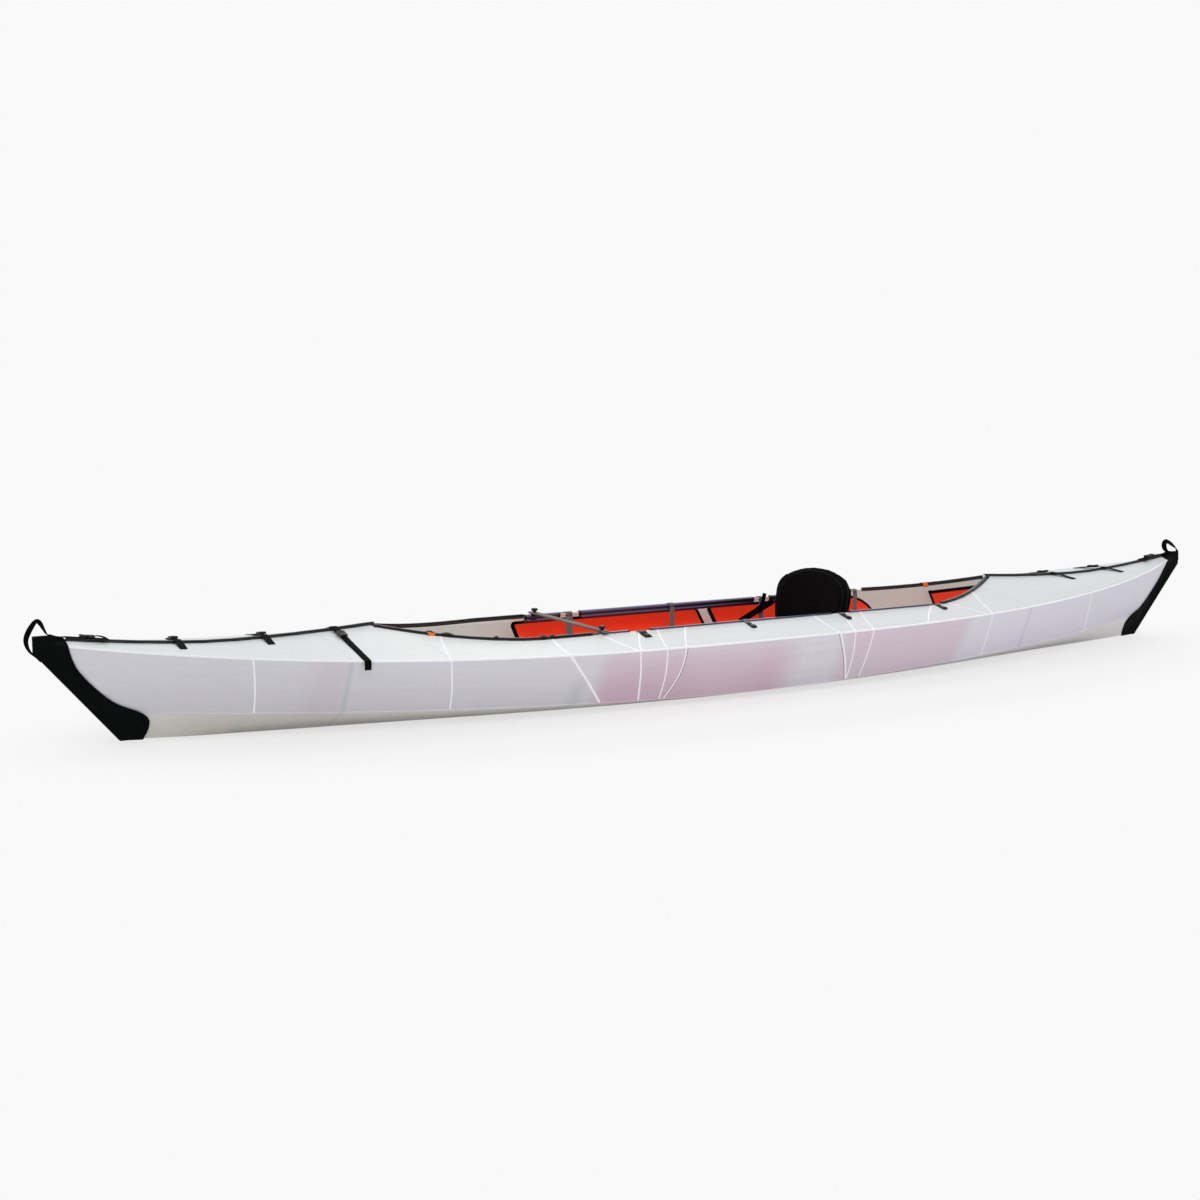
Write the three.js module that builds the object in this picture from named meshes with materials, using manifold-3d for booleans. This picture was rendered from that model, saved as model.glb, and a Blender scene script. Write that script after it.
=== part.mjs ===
// Folding kayak, opened out and ready to paddle. One creased plastic sheet makes the hull, and
// clamped gunwale rails, a cross brace, bulkheads, floorboards and a seat stiffen and fit it out.
// Millimetres. X runs aft, Y to starboard and Z up. The flat of the bottom lies on z = 0.

import * as THREE from 'three';
import { mergeVertices } from 'three/addons/utils/BufferGeometryUtils.js';
import Module from 'manifold-3d';

const wasm = await Module();
wasm.setup();

// Values that every piece uses
const clearance = 0.3;
const overrun = 20;
const port = -1;
const starboard = 1;
const bow = -1;
const stern = 1;

// Hull sheet: four crease lines a side. The sheer runs to the stem's top, and the chine and the floor
// line stop short of it, because the stem is raked.
const sheetThickness = 5;
const stemHalf = 8;
const sheerLine = {
  reach: 2425, midHalf: 420, overshoot: 7, power: 3.2, midHeight: 222, rise: 119, risePower: 2.5,
};
const chineLine = {
  shortBy: 169, midHalf: 330, overshoot: 14, power: 2.4, midHeight: 24, rise: 88, risePower: 1.45,
};
const floorLine = {
  shortBy: 247, midHalf: 230, endHalf: 8, endRun: 378, power: 1.25, rockerRun: 578, rockerRise: 20,
};
const rimLine = {
  straight: 850, half: 256, height: 266, peakReach: 1365, peakRise: 54, power: 1.42, risePower: 2,
};
const seamLine = { crest: 15, lowShare: 0.4575, endRise: 54, risePower: 1.6 };
const deckFoldInset = 135;
const deckCrown = 9;
const crownRamp = 260;
const crownSteps = 4;
const stationCount = 24;
const rimSteps = 9;
const rimCrowdingShare = 0.8;
const stemSteps = 3;
const crowdingShare = 0.35;
const nudgeShare = 1 / 4000;
const leastSpacing = 1;

// Sleeves over the two stems
const cap = {
  wall: 2.6, clearance: 0.8, stemClearance: 4, nose: 29, frontDrop: 52, topInset: 67, heelInset: 61,
  heelHeight: 62, toe: 25, edgeDrop: 12, crest: 8, formFromShare: 0.7,
};
const capEdgeShares = [
  [1, 1], [0.95, 0.86], [0.86, 0.69], [0.63, 0.45], [0.395, 0.27], [0.13, 0.165], [0.02, 0.09], [0, 0],
  [0.03, -0.12], [0.1, -0.24],
];

// Edge trims of the seam and the cockpit
const seamTrim = { half: 7, height: 5, shoulder: 3, crest: 4, overlap: 13 };
const rimTrim = { wall: 2.5, grip: 9, peakInset: 19, bowRailGap: 8, sternRailGap: 60 };

// Gunwale rails: a double tube with a lip over the deck's edge, in three lengths a side
const rail = { lip: 5, lipTop: 4.5, drop: 26, tube: 7.5, tubeInset: 6.5, waist: 3.4, arcSteps: 7 };
const railEndInset = 5;
const railSpans = {
  fore: { from: -640, to: -505 },
  middle: { from: -410, to: 365 },
  aft: { from: 455, to: rimLine.straight - railEndInset },
};

// Webbing clips that hook over the gunwale
const clip = {
  width: 19, thickness: 2.4, reach: 46, footLift: 1.4, arcSteps: 5, hookLength: 24, hookWidth: 20,
  hookHeight: 6, hookRound: 3, midShare: 0.51, aftGap: 28,
};

// Cross brace and its thumb knobs
const brace = {
  fromRailEnd: 35, width: 26, thickness: 8, overhang: 27, edge: 4, groove: 3, grooveDepth: 1.6, grooveSpread: 6,
  slotWidth: 8.1,
};
const knob = {
  studRadius: 3, studDrop: 12, collarRadius: 6, collarHeight: 5, headRadius: 12, headHeight: 9, headEdge: 2,
  lobes: 6, scallop: 3.4, roundSteps: 20,
};

// Bulkheads
const bulkhead = { thickness: 6, clearance: 0.4, headroom: 26, formShare: 0.9 };
const bulkheadPlace = { bowShare: 0.3255, sternInset: 30 };

// Floorboards: a flat board with a wing up each side
const board = { edgeGap: 6, thickness: 6, corner: 18, cornerSteps: 6 };
const wing = { standOff: 50.5, headroom: 5, thickness: 6, corner: 24, sternCorner: 130 };
const boardSpans = {
  bow: { from: -660, to: 165 },
  stern: { from: 210, to: 1000 },
};

// Seat
const pad = {
  from: 80, to: 490, baseInset: 8, wingGap: 2, shoulderHeight: 44, topHeight: 55, crown: 7,
  endRound: 46, edgeRound: 14, sideDraw: 5, channelHalf: 9, channelDepth: 5, channelShares: [0.3, 0.56],
  endWidthShare: 0.8, endHeightShare: 0.45, steps: 14, topSteps: 8,
};
const back = {
  railGap: 20, widest: 300, top: 412, thickness: 34, wrap: 34, leanDegrees: 10.5, behind: 10,
  upperPower: 2.1, lowerPower: 2.6, steps: 36,
};
// Layers of the back from face to face, as shares of its breadth and of half its thickness, with the
// sewn channel inside the piping
const backFrontShares = [
  [0.3, 1], [0.6, 0.95], [0.79, 0.84], [0.85, 0.64], [0.89, 0.72], [0.97, 0.48], [1, 0.14],
];
const backRearShares = backFrontShares.map(([scale, depth]) => [scale, -depth]).reverse();
const seatStrap = {
  thickness: 2.2, tuck: 1.2, upperWidth: 38, lowerWidth: 24, ahead: 34, below: 59, reach: 176, wingLift: 55,
  tailAhead: 80, tailLean: 14, tailRise: 47, tailWidth: 20,
};

// Webbing over the end decks, with side-release buckles, given from the starboard side to the port one
const webbing = { width: 20, thickness: 2.2, clearance: 0.5, tailDrop: 26, step: 16 };
const buckle = { length: 46, width: 28, thickness: 9, corner: 5, notch: 5, notchLength: 14, throat: 20 };
const deckStraps = [
  {
    name: 'bow_deck_strap_1', end: bow, alongShare: 0.592, slant: -30, farShare: 0.8, nearShare: 0.55,
    buckleY: 68,
  },
  {
    name: 'bow_deck_strap_2', end: bow, alongShare: 0.316, slant: -36, farShare: 0.8, nearShare: 0.36,
    buckleY: 44,
  },
  {
    name: 'bow_deck_strap_3', end: bow, alongShare: 0.1085, slant: -22, farShare: 0.3, nearShare: 1,
    buckleY: -84, hangs: true,
  },
  {
    name: 'stern_deck_strap_1', end: stern, alongShare: 0.307, slant: 44, farShare: 0.7, nearShare: 0.4,
    buckleY: 50,
  },
  {
    name: 'stern_deck_strap_2', end: stern, alongShare: 0.585, slant: 40, farShare: 0.7, nearShare: 0.5,
    buckleY: 48,
  },
];

// Grab loops at the stems: sewn to the nose of the cap at two heights below its top, then free, with
// points that are shares of the loop's size from the nose's top corner, and sewn down again on the top
const grabLoop = { width: 22, thickness: 3, size: 50, landing: 8, steps: 32 };
const grabLoops = [
  {
    name: 'bow_grab_loop', end: bow, sewnDrops: [76.5, 63], landingInset: 48,
    freeShares: [
      [0.2, -0.88], [0.38, -0.44], [0.36, 0], [0.08, 0.56], [-0.24, 0.94], [-0.46, 0.82], [-0.66, 0.44],
      [-0.82, 0.14],
    ],
  },
  {
    name: 'stern_grab_loop', end: stern, sewnDrops: [38, 18], landingInset: 48,
    freeShares: [
      [0.06, -0.06], [-0.02, 0.2], [-0.36, 0.48], [-0.92, 0.8], [-1.32, 0.94], [-1.56, 0.76],
      [-1.54, 0.44], [-1.36, 0.16], [-1.16, 0.05],
    ],
  },
];

const finishes = {
  sheet: { color: '#e6e8ea', roughness: 0.45, metalness: 0 },
  rubber: { color: '#141617', roughness: 0.8, metalness: 0 },
  trim: { color: '#1b1d20', roughness: 0.5, metalness: 0 },
  rail: { color: '#2a2b45', roughness: 0.3, metalness: 0.8 },
  webbing: { color: '#7d7f80', roughness: 0.9, metalness: 0 },
  strap: { color: '#17181a', roughness: 0.9, metalness: 0 },
  brace: { color: '#5a5d55', roughness: 0.5, metalness: 0.4 },
  board: { color: '#f02a05', roughness: 0.6, metalness: 0 },
  cushion: { color: '#131414', roughness: 0.95, metalness: 0 },
};

const part = new THREE.Group();

function addMesh(name, geometry, finish) {
  const { color, roughness, metalness } = finishes[finish];
  const mesh = new THREE.Mesh(geometry, new THREE.MeshStandardMaterial({ color, roughness, metalness }));
  mesh.name = name;
  part.add(mesh);
  return mesh;
}

const bounded = (value) => Math.min(Math.max(value, 0), 1);
const between = (from, to, share) => from + (to - from) * share;

const chineReach = sheerLine.reach - chineLine.shortBy;
const floorReach = sheerLine.reach - floorLine.shortBy;

// Crease lines: each gives [half breadth, height] at a distance x from midships
function floorEdge(x) {
  const fade = Math.cos((Math.PI / 2) * bounded(Math.abs(x) / (floorReach - floorLine.endRun)));
  const half = between(floorLine.endHalf, floorLine.midHalf, fade ** floorLine.power);
  const lift = bounded(1 - (floorReach - Math.abs(x)) / floorLine.rockerRun);
  return [half, floorLine.rockerRise * lift ** 2];
}

function formedEdge(line, reach, x) {
  const run = Math.abs(x);
  const half = line.midHalf * (1 - bounded(run / (reach + line.overshoot)) ** line.power);
  return [Math.max(half, stemHalf), line.midHeight + line.rise * (run / reach) ** line.risePower];
}

const chineEdge = (x) => formedEdge(chineLine, chineReach, x);
const sheerEdge = (x) => formedEdge(sheerLine, sheerLine.reach, x);
const peakHeight = rimLine.height + rimLine.peakRise;
const seamEndHeight = sheerLine.midHeight + sheerLine.rise + seamLine.crest;

// A place on an end deck, as a share of the way from the cockpit's peak to the stem
const alongEndDeck = (share) => between(rimLine.peakReach, sheerLine.reach, share);

function innerEdge(x) {
  const run = Math.abs(x);
  const lowReach = alongEndDeck(seamLine.lowShare);
  const lowHeight = seamEndHeight - seamLine.endRise;
  if (run < rimLine.peakReach) {
    const share = bounded((run - rimLine.straight) / (rimLine.peakReach - rimLine.straight));
    const half = Math.max(rimLine.half * (1 - share ** rimLine.power), clearance);
    return [half, rimLine.height + rimLine.peakRise * share ** rimLine.risePower];
  }
  if (run < lowReach) {
    const share = (lowReach - run) / (lowReach - rimLine.peakReach);
    return [clearance, between(lowHeight, peakHeight, share ** 2)];
  }
  const share = (run - lowReach) / (sheerLine.reach - lowReach);
  return [clearance, lowHeight + seamLine.endRise * share ** seamLine.risePower];
}

const creases = [
  { reach: floorReach, edge: floorEdge },
  { reach: chineReach, edge: chineEdge },
  { reach: sheerLine.reach, edge: sheerEdge },
  { reach: sheerLine.reach, edge: innerEdge },
];
const floorCrease = 0;
const chineCrease = 1;
const sheerCrease = 2;
const innerCrease = 3;

// A point of a crease on the starboard side. station runs from -1 at the bow to 1 at the stern.
function creasePoint(index, station) {
  const x = station * creases[index].reach;
  const [half, height] = creases[index].edge(x);
  return new THREE.Vector3(x, half, height);
}

// The direction into the hull, square to the panel that lies outboard of a crease
function panelInward(index, station) {
  const ahead = station + nudgeShare;
  const behind = station - nudgeShare;
  const along = creasePoint(index, ahead).add(creasePoint(index + 1, ahead));
  along.sub(creasePoint(index, behind)).sub(creasePoint(index + 1, behind));
  const across = creasePoint(index + 1, station).sub(creasePoint(index, station));
  return along.cross(across).normalize();
}

// A crease moved into the hull by a depth, mitred between the panels that meet there
function insetPoint(index, station, depth) {
  const point = creasePoint(index, station);
  if (index === innerCrease) {
    const slope = Math.abs(panelInward(sheerCrease, station).z);
    return point.setZ(point.z - depth / slope);
  }
  const after = panelInward(index, station);
  const before = index === floorCrease ? axisZ : panelInward(index - 1, station);
  const mitre = before.clone().add(after).divideScalar(1 + before.dot(after));
  return point.addScaledVector(mitre, depth);
}

// Stations that every panel is built on: evenly spread ones, and those where something starts
const deckFold = rimLine.peakReach - deckFoldInset;
const capTopReach = sheerLine.reach - cap.topInset;
const bowTrimFrom = rimTrim.bowRailGap - railSpans.fore.from;
const sternTrimFrom = railSpans.aft.to + rimTrim.sternRailGap;
const rimTrimTo = rimLine.peakReach - rimTrim.peakInset;
const keyPlaces = [
  deckFold, rimLine.straight, rimLine.peakReach, bowTrimFrom, sternTrimFrom, rimTrimTo,
];
for (let step = 1; step < rimSteps; step += 1) {
  keyPlaces.push(between(rimLine.straight, rimLine.peakReach, (step / rimSteps) ** rimCrowdingShare));
}
for (let step = 0; step < stemSteps; step += 1) {
  keyPlaces.push(between(capTopReach, sheerLine.reach, step / stemSteps));
}
const keyStations = keyPlaces.map((x) => x / sheerLine.reach);
const allStations = [...keyStations, ...keyStations.map((share) => -share), -1, 1];
const stationSpacing = 1 / stationCount;
for (let step = 1 - stationCount; step < stationCount; step += 1) {
  const station = step * stationSpacing;
  const nearest = Math.min(...allStations.map((other) => Math.abs(other - station)));
  if (nearest > stationSpacing * crowdingShare) allStations.push(station);
}
allStations.sort((first, second) => first - second);

function stationsBetween(from, to) {
  const closest = leastSpacing / sheerLine.reach;
  const inside = allStations.filter((station) => station > from + closest && station < to - closest);
  return [from, ...inside, to];
}

// A point of a crease at a distance x, on the straight piece between the two nearest stations
function sheetPoint(index, x) {
  const station = x / creases[index].reach;
  const next = Math.max(allStations.findIndex((candidate) => candidate > station), 1);
  const from = allStations[next - 1];
  const share = (station - from) / (allStations[next] - from);
  return creasePoint(index, from).lerp(creasePoint(index, allStations[next]), share);
}

// How far the middle of an end deck bulges up, which it does neither by the cockpit nor in the cap
function crownAt(x) {
  const run = Math.abs(x);
  const ramp = bounded((run - rimLine.peakReach) / crownRamp) * bounded((capTopReach - run) / crownRamp);
  return (deckCrown * ramp * sheerEdge(x)[0]) / sheerLine.midHalf;
}

// Height of the deck's outer face, looked for from above on the deck panels that are built
const decks = [];
const probe = new THREE.Raycaster();

function deckHeight(x, y) {
  const side = y < 0 ? port : starboard;
  const inmost = sheetPoint(innerCrease, x).y + leastSpacing;
  const outmost = sheetPoint(sheerCrease, x).y - leastSpacing;
  const reach = Math.min(Math.max(Math.abs(y), inmost), outmost);
  probe.set(new THREE.Vector3(x, side * reach, sheerLine.midHalf * 2), new THREE.Vector3(0, 0, -1));
  return probe.intersectObjects(decks)[0].point.z;
}

// Two triangles on four corners, split along the shorter diagonal, so that two panels that meet
// at a crease are split alike there
function quadFaces(corners, a, b, c, d) {
  const forward = corners[a].distanceTo(corners[c]) < corners[b].distanceTo(corners[d]);
  return forward ? [[a, b, c], [a, c, d]] : [[a, b, d], [b, c, d]];
}

// Closed solid through a row of rings that all have the same number of points
function loft(rings, endFaces = outlineFaces) {
  const count = rings[0].length;
  const corners = rings.flat();
  const faces = [];
  for (let row = 0; row < rings.length - 1; row += 1) {
    for (let column = 0; column < count; column += 1) {
      const low = row * count + column;
      const next = row * count + ((column + 1) % count);
      faces.push(...quadFaces(corners, low, next, next + count, low + count));
    }
  }
  const last = (rings.length - 1) * count;
  for (const [first, second, third] of endFaces(rings[0])) faces.push([third, second, first]);
  for (const face of endFaces(rings[rings.length - 1])) faces.push(face.map((corner) => corner + last));
  return closedGeometry(corners, faces);
}

// Triangles that close a ring whose second half runs back beside its first
function ladderFaces(ring) {
  const last = ring.length - 1;
  const faces = [];
  for (let step = 0; step < ring.length / 2 - 1; step += 1) {
    faces.push(...quadFaces(ring, step, step + 1, last - step - 1, last - step));
  }
  return faces;
}

// Triangles that close a flat ring, whatever its outline
function outlineFaces(ring) {
  const normal = new THREE.Vector3();
  ring.forEach((point, index) => normal.add(point.clone().cross(ring[(index + 1) % ring.length])));
  normal.normalize();
  const side = ring[1].clone().sub(ring[0]).normalize();
  const up = normal.clone().cross(side);
  const outline = ring.map((point) => {
    const offset = point.clone().sub(ring[0]);
    return new THREE.Vector2(offset.dot(side), offset.dot(up));
  });
  return THREE.ShapeUtils.triangulateShape(outline, []);
}

function closedGeometry(corners, faces) {
  let volume = 0;
  for (const [a, b, c] of faces) volume += corners[a].dot(corners[b].clone().cross(corners[c]));
  const ordered = volume < 0 ? faces.map(([a, b, c]) => [c, b, a]) : faces;
  const geometry = new THREE.BufferGeometry();
  const positions = corners.flatMap((corner) => [corner.x, corner.y, corner.z]);
  geometry.setAttribute('position', new THREE.Float32BufferAttribute(positions, 3));
  geometry.setIndex(ordered.flat());
  return geometry;
}

function toSolid(geometry) {
  const bare = geometry.clone();
  bare.deleteAttribute('normal');
  bare.deleteAttribute('uv');
  const merged = mergeVertices(bare);
  return new wasm.Manifold(new wasm.Mesh({
    numProp: 3,
    vertProperties: merged.attributes.position.array,
    triVerts: new Uint32Array(merged.index.array),
  }));
}

function toGeometry(solid) {
  const mesh = solid.getMesh();
  const geometry = new THREE.BufferGeometry();
  geometry.setAttribute('position', new THREE.Float32BufferAttribute(mesh.vertProperties, mesh.numProp));
  geometry.setIndex([...mesh.triVerts]);
  return geometry;
}

// A copy turned over left to right or end to end, with its faces still pointing out
function mirrored(geometry, alongX, alongY) {
  const bare = geometry.clone();
  bare.deleteAttribute('normal');
  bare.deleteAttribute('uv');
  const flipped = mergeVertices(bare).scale(alongX, alongY, 1);
  const corners = flipped.index.array;
  for (let first = 0; first < corners.length; first += 3) {
    [corners[first], corners[first + 1]] = [corners[first + 1], corners[first]];
  }
  return flipped;
}

const splineSteps = 3;
const axisX = new THREE.Vector3(1, 0, 0);
const axisY = new THREE.Vector3(0, 1, 0);
const axisZ = new THREE.Vector3(0, 0, 1);

// A flat shape given a thickness, with its curves in a number of steps
const thicken = (shape, depth, curveSegments) => (
  new THREE.ExtrudeGeometry(shape, { depth, bevelEnabled: false, curveSegments })
);

// A shape drawn as [y, z], pushed along X from one place to another
function extrudeAlongX(shape, from, to) {
  const geometry = thicken(shape, to - from, 1);
  geometry.applyMatrix4(new THREE.Matrix4().makeBasis(axisY, axisZ, axisX));
  return geometry.translate(from, 0, 0);
}

// A shape drawn as [x, z], pushed along Y from one place to another
function extrudeAlongY(shape, from, to) {
  const geometry = thicken(shape, to - from, splineSteps);
  geometry.applyMatrix4(new THREE.Matrix4().makeBasis(axisX, axisZ, axisY.clone().negate()));
  return geometry.translate(0, to, 0);
}

const shapeOf = (points) => new THREE.Shape(points.map(([across, up]) => new THREE.Vector2(across, up)));

// Outline of a strip of webbing whose middle follows a path of points drawn as [across, up]
function stripShape(path, thickness) {
  const points = path.map(([across, up]) => new THREE.Vector2(across, up));
  const sides = points.slice(1).map((point, index) => {
    const along = point.clone().sub(points[index]).normalize();
    return new THREE.Vector2(-along.y, along.x);
  });
  const offsets = points.map((_, index) => {
    const before = sides[Math.max(index - 1, 0)];
    const after = sides[Math.min(index, sides.length - 1)];
    return before.clone().add(after).multiplyScalar(thickness / 2 / (1 + before.dot(after)));
  });
  const upper = points.map((point, index) => point.clone().add(offsets[index]));
  const lower = points.map((point, index) => point.clone().sub(offsets[index]));
  return new THREE.Shape([...upper, ...lower.reverse()]);
}

// Points of a smooth curve through a few given ones
function smoothPath(path, steps) {
  const curve = new THREE.SplineCurve(path.map(([across, up]) => new THREE.Vector2(across, up)));
  return curve.getSpacedPoints(steps).map((point) => [point.x, point.y]);
}

// Hull panels, one for each strip of sheet between two creases
function panelRing(index, station, side, steps) {
  const outward = panelInward(index, station).negate();
  const outer = [creasePoint(index, station), creasePoint(index + 1, station)];
  const inner = [insetPoint(index, station, sheetThickness), insetPoint(index + 1, station, sheetThickness)];
  const crown = steps > 1 ? crownAt(outer[0].x) : 0;
  const faces = [outer, inner].map(([from, to]) => {
    const inset = clearance / 2 / from.distanceTo(to);
    const row = [];
    for (let step = 0; step <= steps; step += 1) {
      const share = step / steps;
      const rise = crown * Math.sin(Math.PI * share);
      const point = from.clone().lerp(to, between(inset, 1 - inset, share)).addScaledVector(outward, rise);
      row.push(point.setY(point.y * side));
    }
    return row;
  });
  return [...faces[0], ...faces[1].reverse()];
}

function hullPanel(index, side, from, to, steps) {
  const rings = stationsBetween(from, to).map((station) => panelRing(index, station, side, steps));
  return loft(rings, ladderFaces);
}

function floorPanel() {
  const rings = stationsBetween(-1, 1).map((station) => {
    const outer = creasePoint(floorCrease, station);
    const inner = insetPoint(floorCrease, station, sheetThickness);
    const outerHalf = outer.y - clearance / 2;
    const innerHalf = inner.y - clearance / 2;
    return [
      new THREE.Vector3(outer.x, -outerHalf, outer.z),
      new THREE.Vector3(outer.x, outerHalf, outer.z),
      new THREE.Vector3(inner.x, innerHalf, inner.z),
      new THREE.Vector3(inner.x, -innerHalf, inner.z),
    ];
  });
  return loft(rings, ladderFaces);
}

const sideNames = [[port, 'port'], [starboard, 'starboard']];
const endNames = [[bow, 'bow'], [stern, 'stern']];
const foldStation = deckFold / sheerLine.reach;
const foldGap = clearance / 2 / sheerLine.reach;

function buildHull() {
  addMesh('hull_floor', floorPanel(), 'sheet');
  for (const [side, sideName] of sideNames) {
    const middle = foldStation - foldGap;
    const outer = foldStation + foldGap;
    addMesh(`bow_bilge_${sideName}`, hullPanel(floorCrease, side, -1, -outer, 1), 'sheet');
    addMesh(`middle_bilge_${sideName}`, hullPanel(floorCrease, side, -middle, middle, 1), 'sheet');
    addMesh(`stern_bilge_${sideName}`, hullPanel(floorCrease, side, outer, 1, 1), 'sheet');
    addMesh(`side_panel_${sideName}`, hullPanel(chineCrease, side, -1, 1, 1), 'sheet');
    decks.push(
      addMesh(`bow_deck_${sideName}`, hullPanel(sheerCrease, side, -1, -outer, crownSteps), 'sheet'),
      addMesh(`side_deck_${sideName}`, hullPanel(sheerCrease, side, -middle, middle, 1), 'sheet'),
      addMesh(`stern_deck_${sideName}`, hullPanel(sheerCrease, side, outer, 1, crownSteps), 'sheet'),
    );
  }
}

// The whole hull as one solid, moved in or out by a depth, for what fits over or inside it
function hullForm(from, to, depth, sternGrowth) {
  const rings = stationsBetween(from, to).map((station) => {
    const upward = creases.map((_, index) => insetPoint(index, station, depth));
    const top = upward.pop();
    const sheer = upward[sheerCrease];
    for (let step = 1; step <= crownSteps; step += 1) upward.push(sheer.clone().lerp(top, step / crownSteps));
    const downward = upward.map((point) => point.clone().setY(-point.y)).reverse();
    return [...upward, ...downward];
  });
  const last = rings[rings.length - 1];
  if (sternGrowth > 0) rings.push(last.map((point) => point.clone().setX(point.x + sternGrowth)));
  return toSolid(loft(rings, ladderFaces));
}

const noseReach = sheerLine.reach + cap.nose;
const noseTop = seamEndHeight + cap.crest;
const frontHeight = noseTop - cap.frontDrop;
const toeReach = floorReach + cap.toe;
const toeHeight = floorLine.rockerRise - cap.clearance - cap.wall;
const capHeelReach = floorReach - cap.heelInset;
const capEdgeTop = sheerLine.midHeight + sheerLine.rise - cap.edgeDrop;

// Sleeve over a stem: a skin over the creased hull, cut to a curved edge, with a solid nose
function sternCap() {
  const outer = hullForm(cap.formFromShare, 1, -cap.clearance - cap.wall, 0);
  const inner = hullForm(cap.formFromShare, 1, -cap.clearance, cap.stemClearance);
  const nose = shapeOf([
    [noseReach, noseTop],
    [sheerLine.reach - cap.nose, noseTop],
    [floorReach - cap.nose, toeHeight],
    [toeReach, toeHeight],
    [noseReach, frontHeight],
  ]);
  const noseHalf = stemHalf + cap.clearance + cap.wall;
  const nosePlate = toSolid(extrudeAlongY(nose, -noseHalf, noseHalf));
  const cutter = toSolid(extrudeAlongY(capOutline(), -sheerLine.midHalf, sheerLine.midHalf));
  return toGeometry(outer.add(nosePlate).subtract(inner).intersect(cutter));
}

function capOutline() {
  const run = capTopReach - capHeelReach;
  const rise = capEdgeTop - cap.heelHeight;
  const edge = capEdgeShares.map(([along, up]) => (
    new THREE.Vector2(capHeelReach + run * along, cap.heelHeight + rise * up)
  ));
  const last = edge[edge.length - 1];
  const over = noseTop + overrun;
  const shape = new THREE.Shape();
  shape.moveTo(capTopReach, over);
  shape.lineTo(capTopReach, capEdgeTop);
  shape.splineThru(edge.slice(1));
  shape.lineTo(last.x, -overrun);
  shape.lineTo(noseReach + overrun, -overrun);
  shape.lineTo(noseReach + overrun, over);
  return shape;
}

function buildCaps() {
  const sleeve = sternCap();
  addMesh('stern_cap', sleeve, 'rubber');
  addMesh('bow_cap', mirrored(sleeve, -1, 1), 'rubber');
}

// Trim along the deck's middle seam, from the cockpit's peak to the cap
function seamTrimSolid(end) {
  const section = [
    [-seamTrim.half, 0],
    [seamTrim.half, 0],
    [seamTrim.half, seamTrim.shoulder],
    [seamTrim.crest, seamTrim.height],
    [-seamTrim.crest, seamTrim.height],
    [-seamTrim.half, seamTrim.shoulder],
  ];
  const from = rimLine.peakReach - seamTrim.overlap;
  const limits = [from, capTopReach - cap.clearance].map((x) => x / sheerLine.reach);
  const rings = stationsBetween(...limits).map((station) => {
    const x = station * sheerLine.reach;
    const base = sheetPoint(innerCrease, Math.max(x, rimLine.peakReach)).z + clearance;
    return section.map(([across, up]) => new THREE.Vector3(end * x, across, base + up));
  });
  return loft(rings);
}

// Channel trim that grips the cockpit's edge
function rimFrame(x, side) {
  const station = x / sheerLine.reach;
  const ahead = creasePoint(innerCrease, station + nudgeShare);
  const tangent = ahead.sub(creasePoint(innerCrease, station - nudgeShare)).normalize();
  const normal = panelInward(sheerCrease, station).negate();
  const outward = normal.clone().cross(tangent).normalize();
  if (outward.y < 0) outward.negate();
  const origin = creasePoint(innerCrease, station);
  return [origin, outward, normal].map((vector) => vector.setY(vector.y * side));
}

function rimTrimSolid(side, from, to) {
  const top = clearance + rimTrim.wall;
  const slotFloor = -sheetThickness - clearance;
  const back = -clearance - rimTrim.wall;
  const section = [
    [back, top], [rimTrim.grip, top], [rimTrim.grip, clearance], [-clearance, clearance],
    [-clearance, slotFloor], [rimTrim.grip, slotFloor], [rimTrim.grip, slotFloor - rimTrim.wall],
    [back, slotFloor - rimTrim.wall],
  ];
  const limits = [from, to].map((x) => x / sheerLine.reach);
  const rings = stationsBetween(...limits).map((station) => {
    const [origin, outward, normal] = rimFrame(station * sheerLine.reach, side);
    const place = (out, up) => origin.clone().addScaledVector(outward, out).addScaledVector(normal, up);
    return section.map(([out, up]) => place(out, up));
  });
  return loft(rings);
}

function buildTrims() {
  for (const [end, endName] of endNames) addMesh(`${endName}_seam_trim`, seamTrimSolid(end), 'trim');
  for (const [side, sideName] of sideNames) {
    const bowTrim = rimTrimSolid(side, -rimTrimTo, -bowTrimFrom);
    const sternTrim = rimTrimSolid(side, sternTrimFrom, rimTrimTo);
    addMesh(`cockpit_trim_bow_${sideName}`, bowTrim, 'trim');
    addMesh(`cockpit_trim_stern_${sideName}`, sternTrim, 'trim');
  }
}

// Rail section: a flat outboard wall, two round tubes one above the other, and the lip over the deck
function railShape(side) {
  const centre = clearance + rail.tubeInset;
  const high = rail.lipTop - rail.tube;
  const low = rail.tube - rail.drop;
  const waist = Math.acos(rail.waist / rail.tube);
  const inboard = (distance) => side * (rimLine.half - distance);
  const arc = (height, from, to) => {
    const points = [];
    for (let step = 0; step <= rail.arcSteps; step += 1) {
      const angle = between(from, to, step / rail.arcSteps);
      points.push([inboard(centre + rail.tube * Math.cos(angle)), height + rail.tube * Math.sin(angle)]);
    }
    return points;
  };
  const outline = [
    [inboard(-rail.lip), clearance],
    [inboard(clearance), clearance],
    [inboard(clearance), -rail.drop],
    ...arc(low, -Math.PI / 2, waist),
    ...arc(high, -waist, Math.PI / 2),
    [inboard(-rail.lip), rail.lipTop],
  ];
  return shapeOf(outline.map(([across, up]) => [across, up + rimLine.height]));
}

const knobY = rimLine.half - clearance - rail.tubeInset;
const railTop = rimLine.height + rail.lipTop;
const braceX = railSpans.fore.from + brace.fromRailEnd;

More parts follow.
